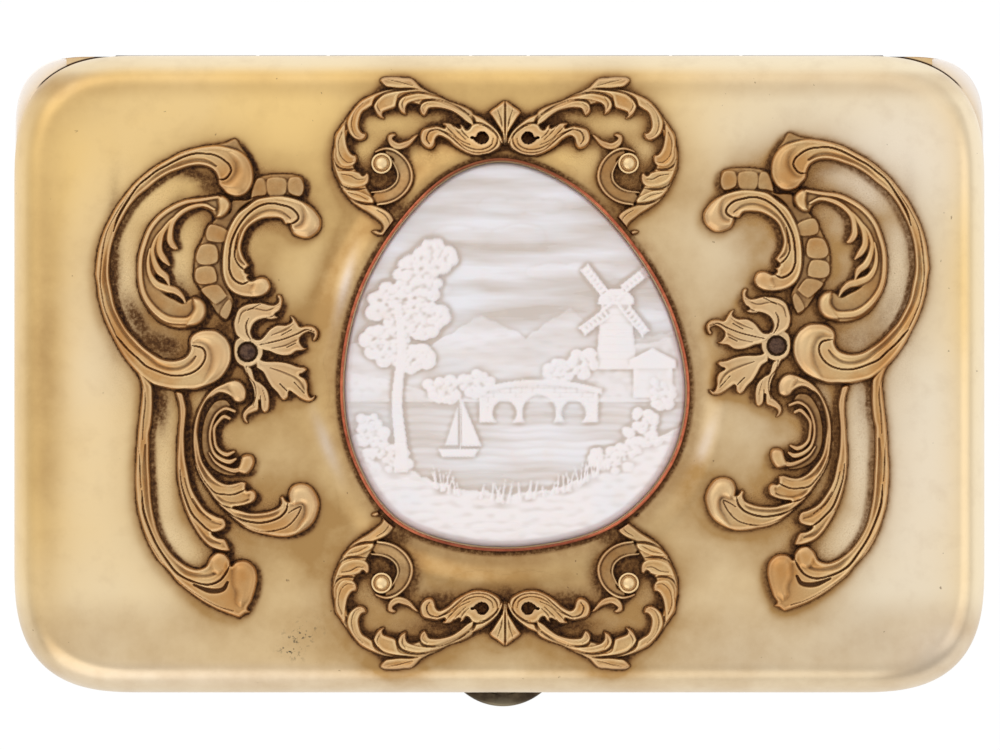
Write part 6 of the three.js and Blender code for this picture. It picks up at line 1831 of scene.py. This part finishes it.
class CaseSizes(PropertyGroup):
    casting_step: number(
        FloatProperty, "Casting step", "Grid of the castings, in millimetres", 0.09, 0.08, 0.4)
    ground_step: number(
        FloatProperty, "Ground step", "Grid of the skins round the mounts, in millimetres", 0.17, 0.1, 0.4)
    field_rows: number(IntProperty, "Field rows", "Rows of the lid's field, for its wear", 84, 10, 110)
    plaque_grid: number(IntProperty, "Plaque grid", "Squares along a side of the plaque's grid", 280, 60, 300)
    bezel_width: number(
        FloatProperty, "Bezel width", "Width of the bezel seen from above, in millimetres", 0.34, 0.3, 1.2)
    band_ribs: number(IntProperty, "Band ribs", "Ribs across an elastic band", 20, 6, 30)


class CaseLooks(PropertyGroup):
    warm_gilt: colour("Warm gilt", "The lid's gilding where it is whole", 240, 204, 136)
    pale_gilt: colour("Pale gilt", "The lid's gilding where it is worn thin", 238, 222, 192)
    # the edge colour also serves as a painted highlight on the rolled edge
    edge: colour("Edge", "The rolled edge, where hands have thinned the gilding", 248, 234, 204)
    # the dirt colour also serves as painted shadow and painted shade round the mounts
    dirt_and_shadow: colour("Dirt", "Thin brown film further out from the mounts", 176, 138, 86)
    tarnish: colour("Tarnish", "Brown film in wear and round the mounts", 158, 118, 72)
    # the grime colour also serves as painted shade in the crevices and the painted shadow line under the lid's
    # back corners
    grime_and_shade: colour("Grime", "Dirt in the crevices", 52, 34, 26)
    ground: colour("Ground", "Matted ground inside the scrolls", 162, 124, 80)
    cast_gilt: colour("Cast gilt", "The mounts' flat tops", 200, 148, 88)
    cast_pale: colour("Pale cast gilt", "The mounts where they catch more wear", 214, 180, 128)
    # bright cast gilt is worn gilding with a painted highlight on the ridges
    cast_bright: colour("Bright cast gilt", "The mounts' ridges", 246, 218, 168)
    copper: colour("Rose gold", "The bezel", 186, 98, 70)
    pearl: colour("Pearl", "The plaque's raised carving", 236, 228, 226)
    pearl_shade: colour("Pearl shade", "Hollows beside the carving", 196, 180, 168)
    nacre_deep: colour("Deep nacre", "The plaque's ground, darker layers", 200, 187, 177)
    nacre_pale: colour("Pale nacre", "The plaque's ground, paler layers", 230, 226, 228)
    oxide: colour("Oxide", "The thumb button", 58, 48, 40)
    elastic: colour("Elastic", "The bands", 160, 128, 76)
    gilt_roughness: number(
        FloatProperty, "Gilt roughness", "How matt the shells are", 0.34, 0.05, 1, subtype="FACTOR")
    cast_roughness: number(
        FloatProperty, "Cast roughness", "How matt the mounts are", 0.42, 0.05, 1, subtype="FACTOR")


class CaseStage(PropertyGroup):
    sky: number(FloatProperty, "Sky", "Strength of the light from all round", 1.0, 0, 3)
    key: number(FloatProperty, "Key", "Power of the key lamp", 1.1, 0, 100, subtype="POWER")
    fill: number(FloatProperty, "Fill", "Power of the fill lamps", 1.0, 0, 100, subtype="POWER")
    lens: number(FloatProperty, "Lens", "Focal length, in millimetres", 500, 50, 2000, unit="CAMERA")


OPERATORS = (
    CASE_OT_lid, CASE_OT_grounds, CASE_OT_base, CASE_OT_scroll_mounts, CASE_OT_hinge, CASE_OT_studs,
    CASE_OT_cameo, CASE_OT_button, CASE_OT_bands, CASE_OT_inside, CASE_OT_stage,
)


class CASE_PT_panel(Panel):
    """Lists the case's operators and settings"""

    bl_idname = "CASE_PT_panel"
    bl_label = "Cigarette case"
    bl_space_type = "VIEW_3D"
    bl_region_type = "UI"
    bl_category = "Case"

    def draw(self, context):
        for operator in OPERATORS:
            self.layout.operator(operator.bl_idname)
        for settings in (context.scene.case_sizes, context.scene.case_looks, context.scene.case_stage):
            box = self.layout.box()
            for key in settings.__annotations__:
                box.prop(settings, key)


CLASSES = (CaseSizes, CaseLooks, CaseStage, *OPERATORS, CASE_PT_panel)


def register():
    for cls in CLASSES:
        bpy.utils.register_class(cls)
    bpy.types.Scene.case_sizes = PointerProperty(type=CaseSizes)
    bpy.types.Scene.case_looks = PointerProperty(type=CaseLooks)
    bpy.types.Scene.case_stage = PointerProperty(type=CaseStage)


def unregister():
    for key in ("case_sizes", "case_looks", "case_stage"):
        delattr(bpy.types.Scene, key)
    for cls in reversed(CLASSES):
        bpy.utils.unregister_class(cls)


def main():
    register()
    bpy.ops.case.stage()
    bpy.ops.case.lid()
    bpy.ops.case.grounds()
    bpy.ops.case.base()
    bpy.ops.case.scroll_mounts()
    bpy.ops.case.hinge()
    bpy.ops.case.studs()
    bpy.ops.case.cameo()
    bpy.ops.case.button()
    bpy.ops.case.bands()
    bpy.ops.case.inside()


if __name__ == "__main__":
    main()
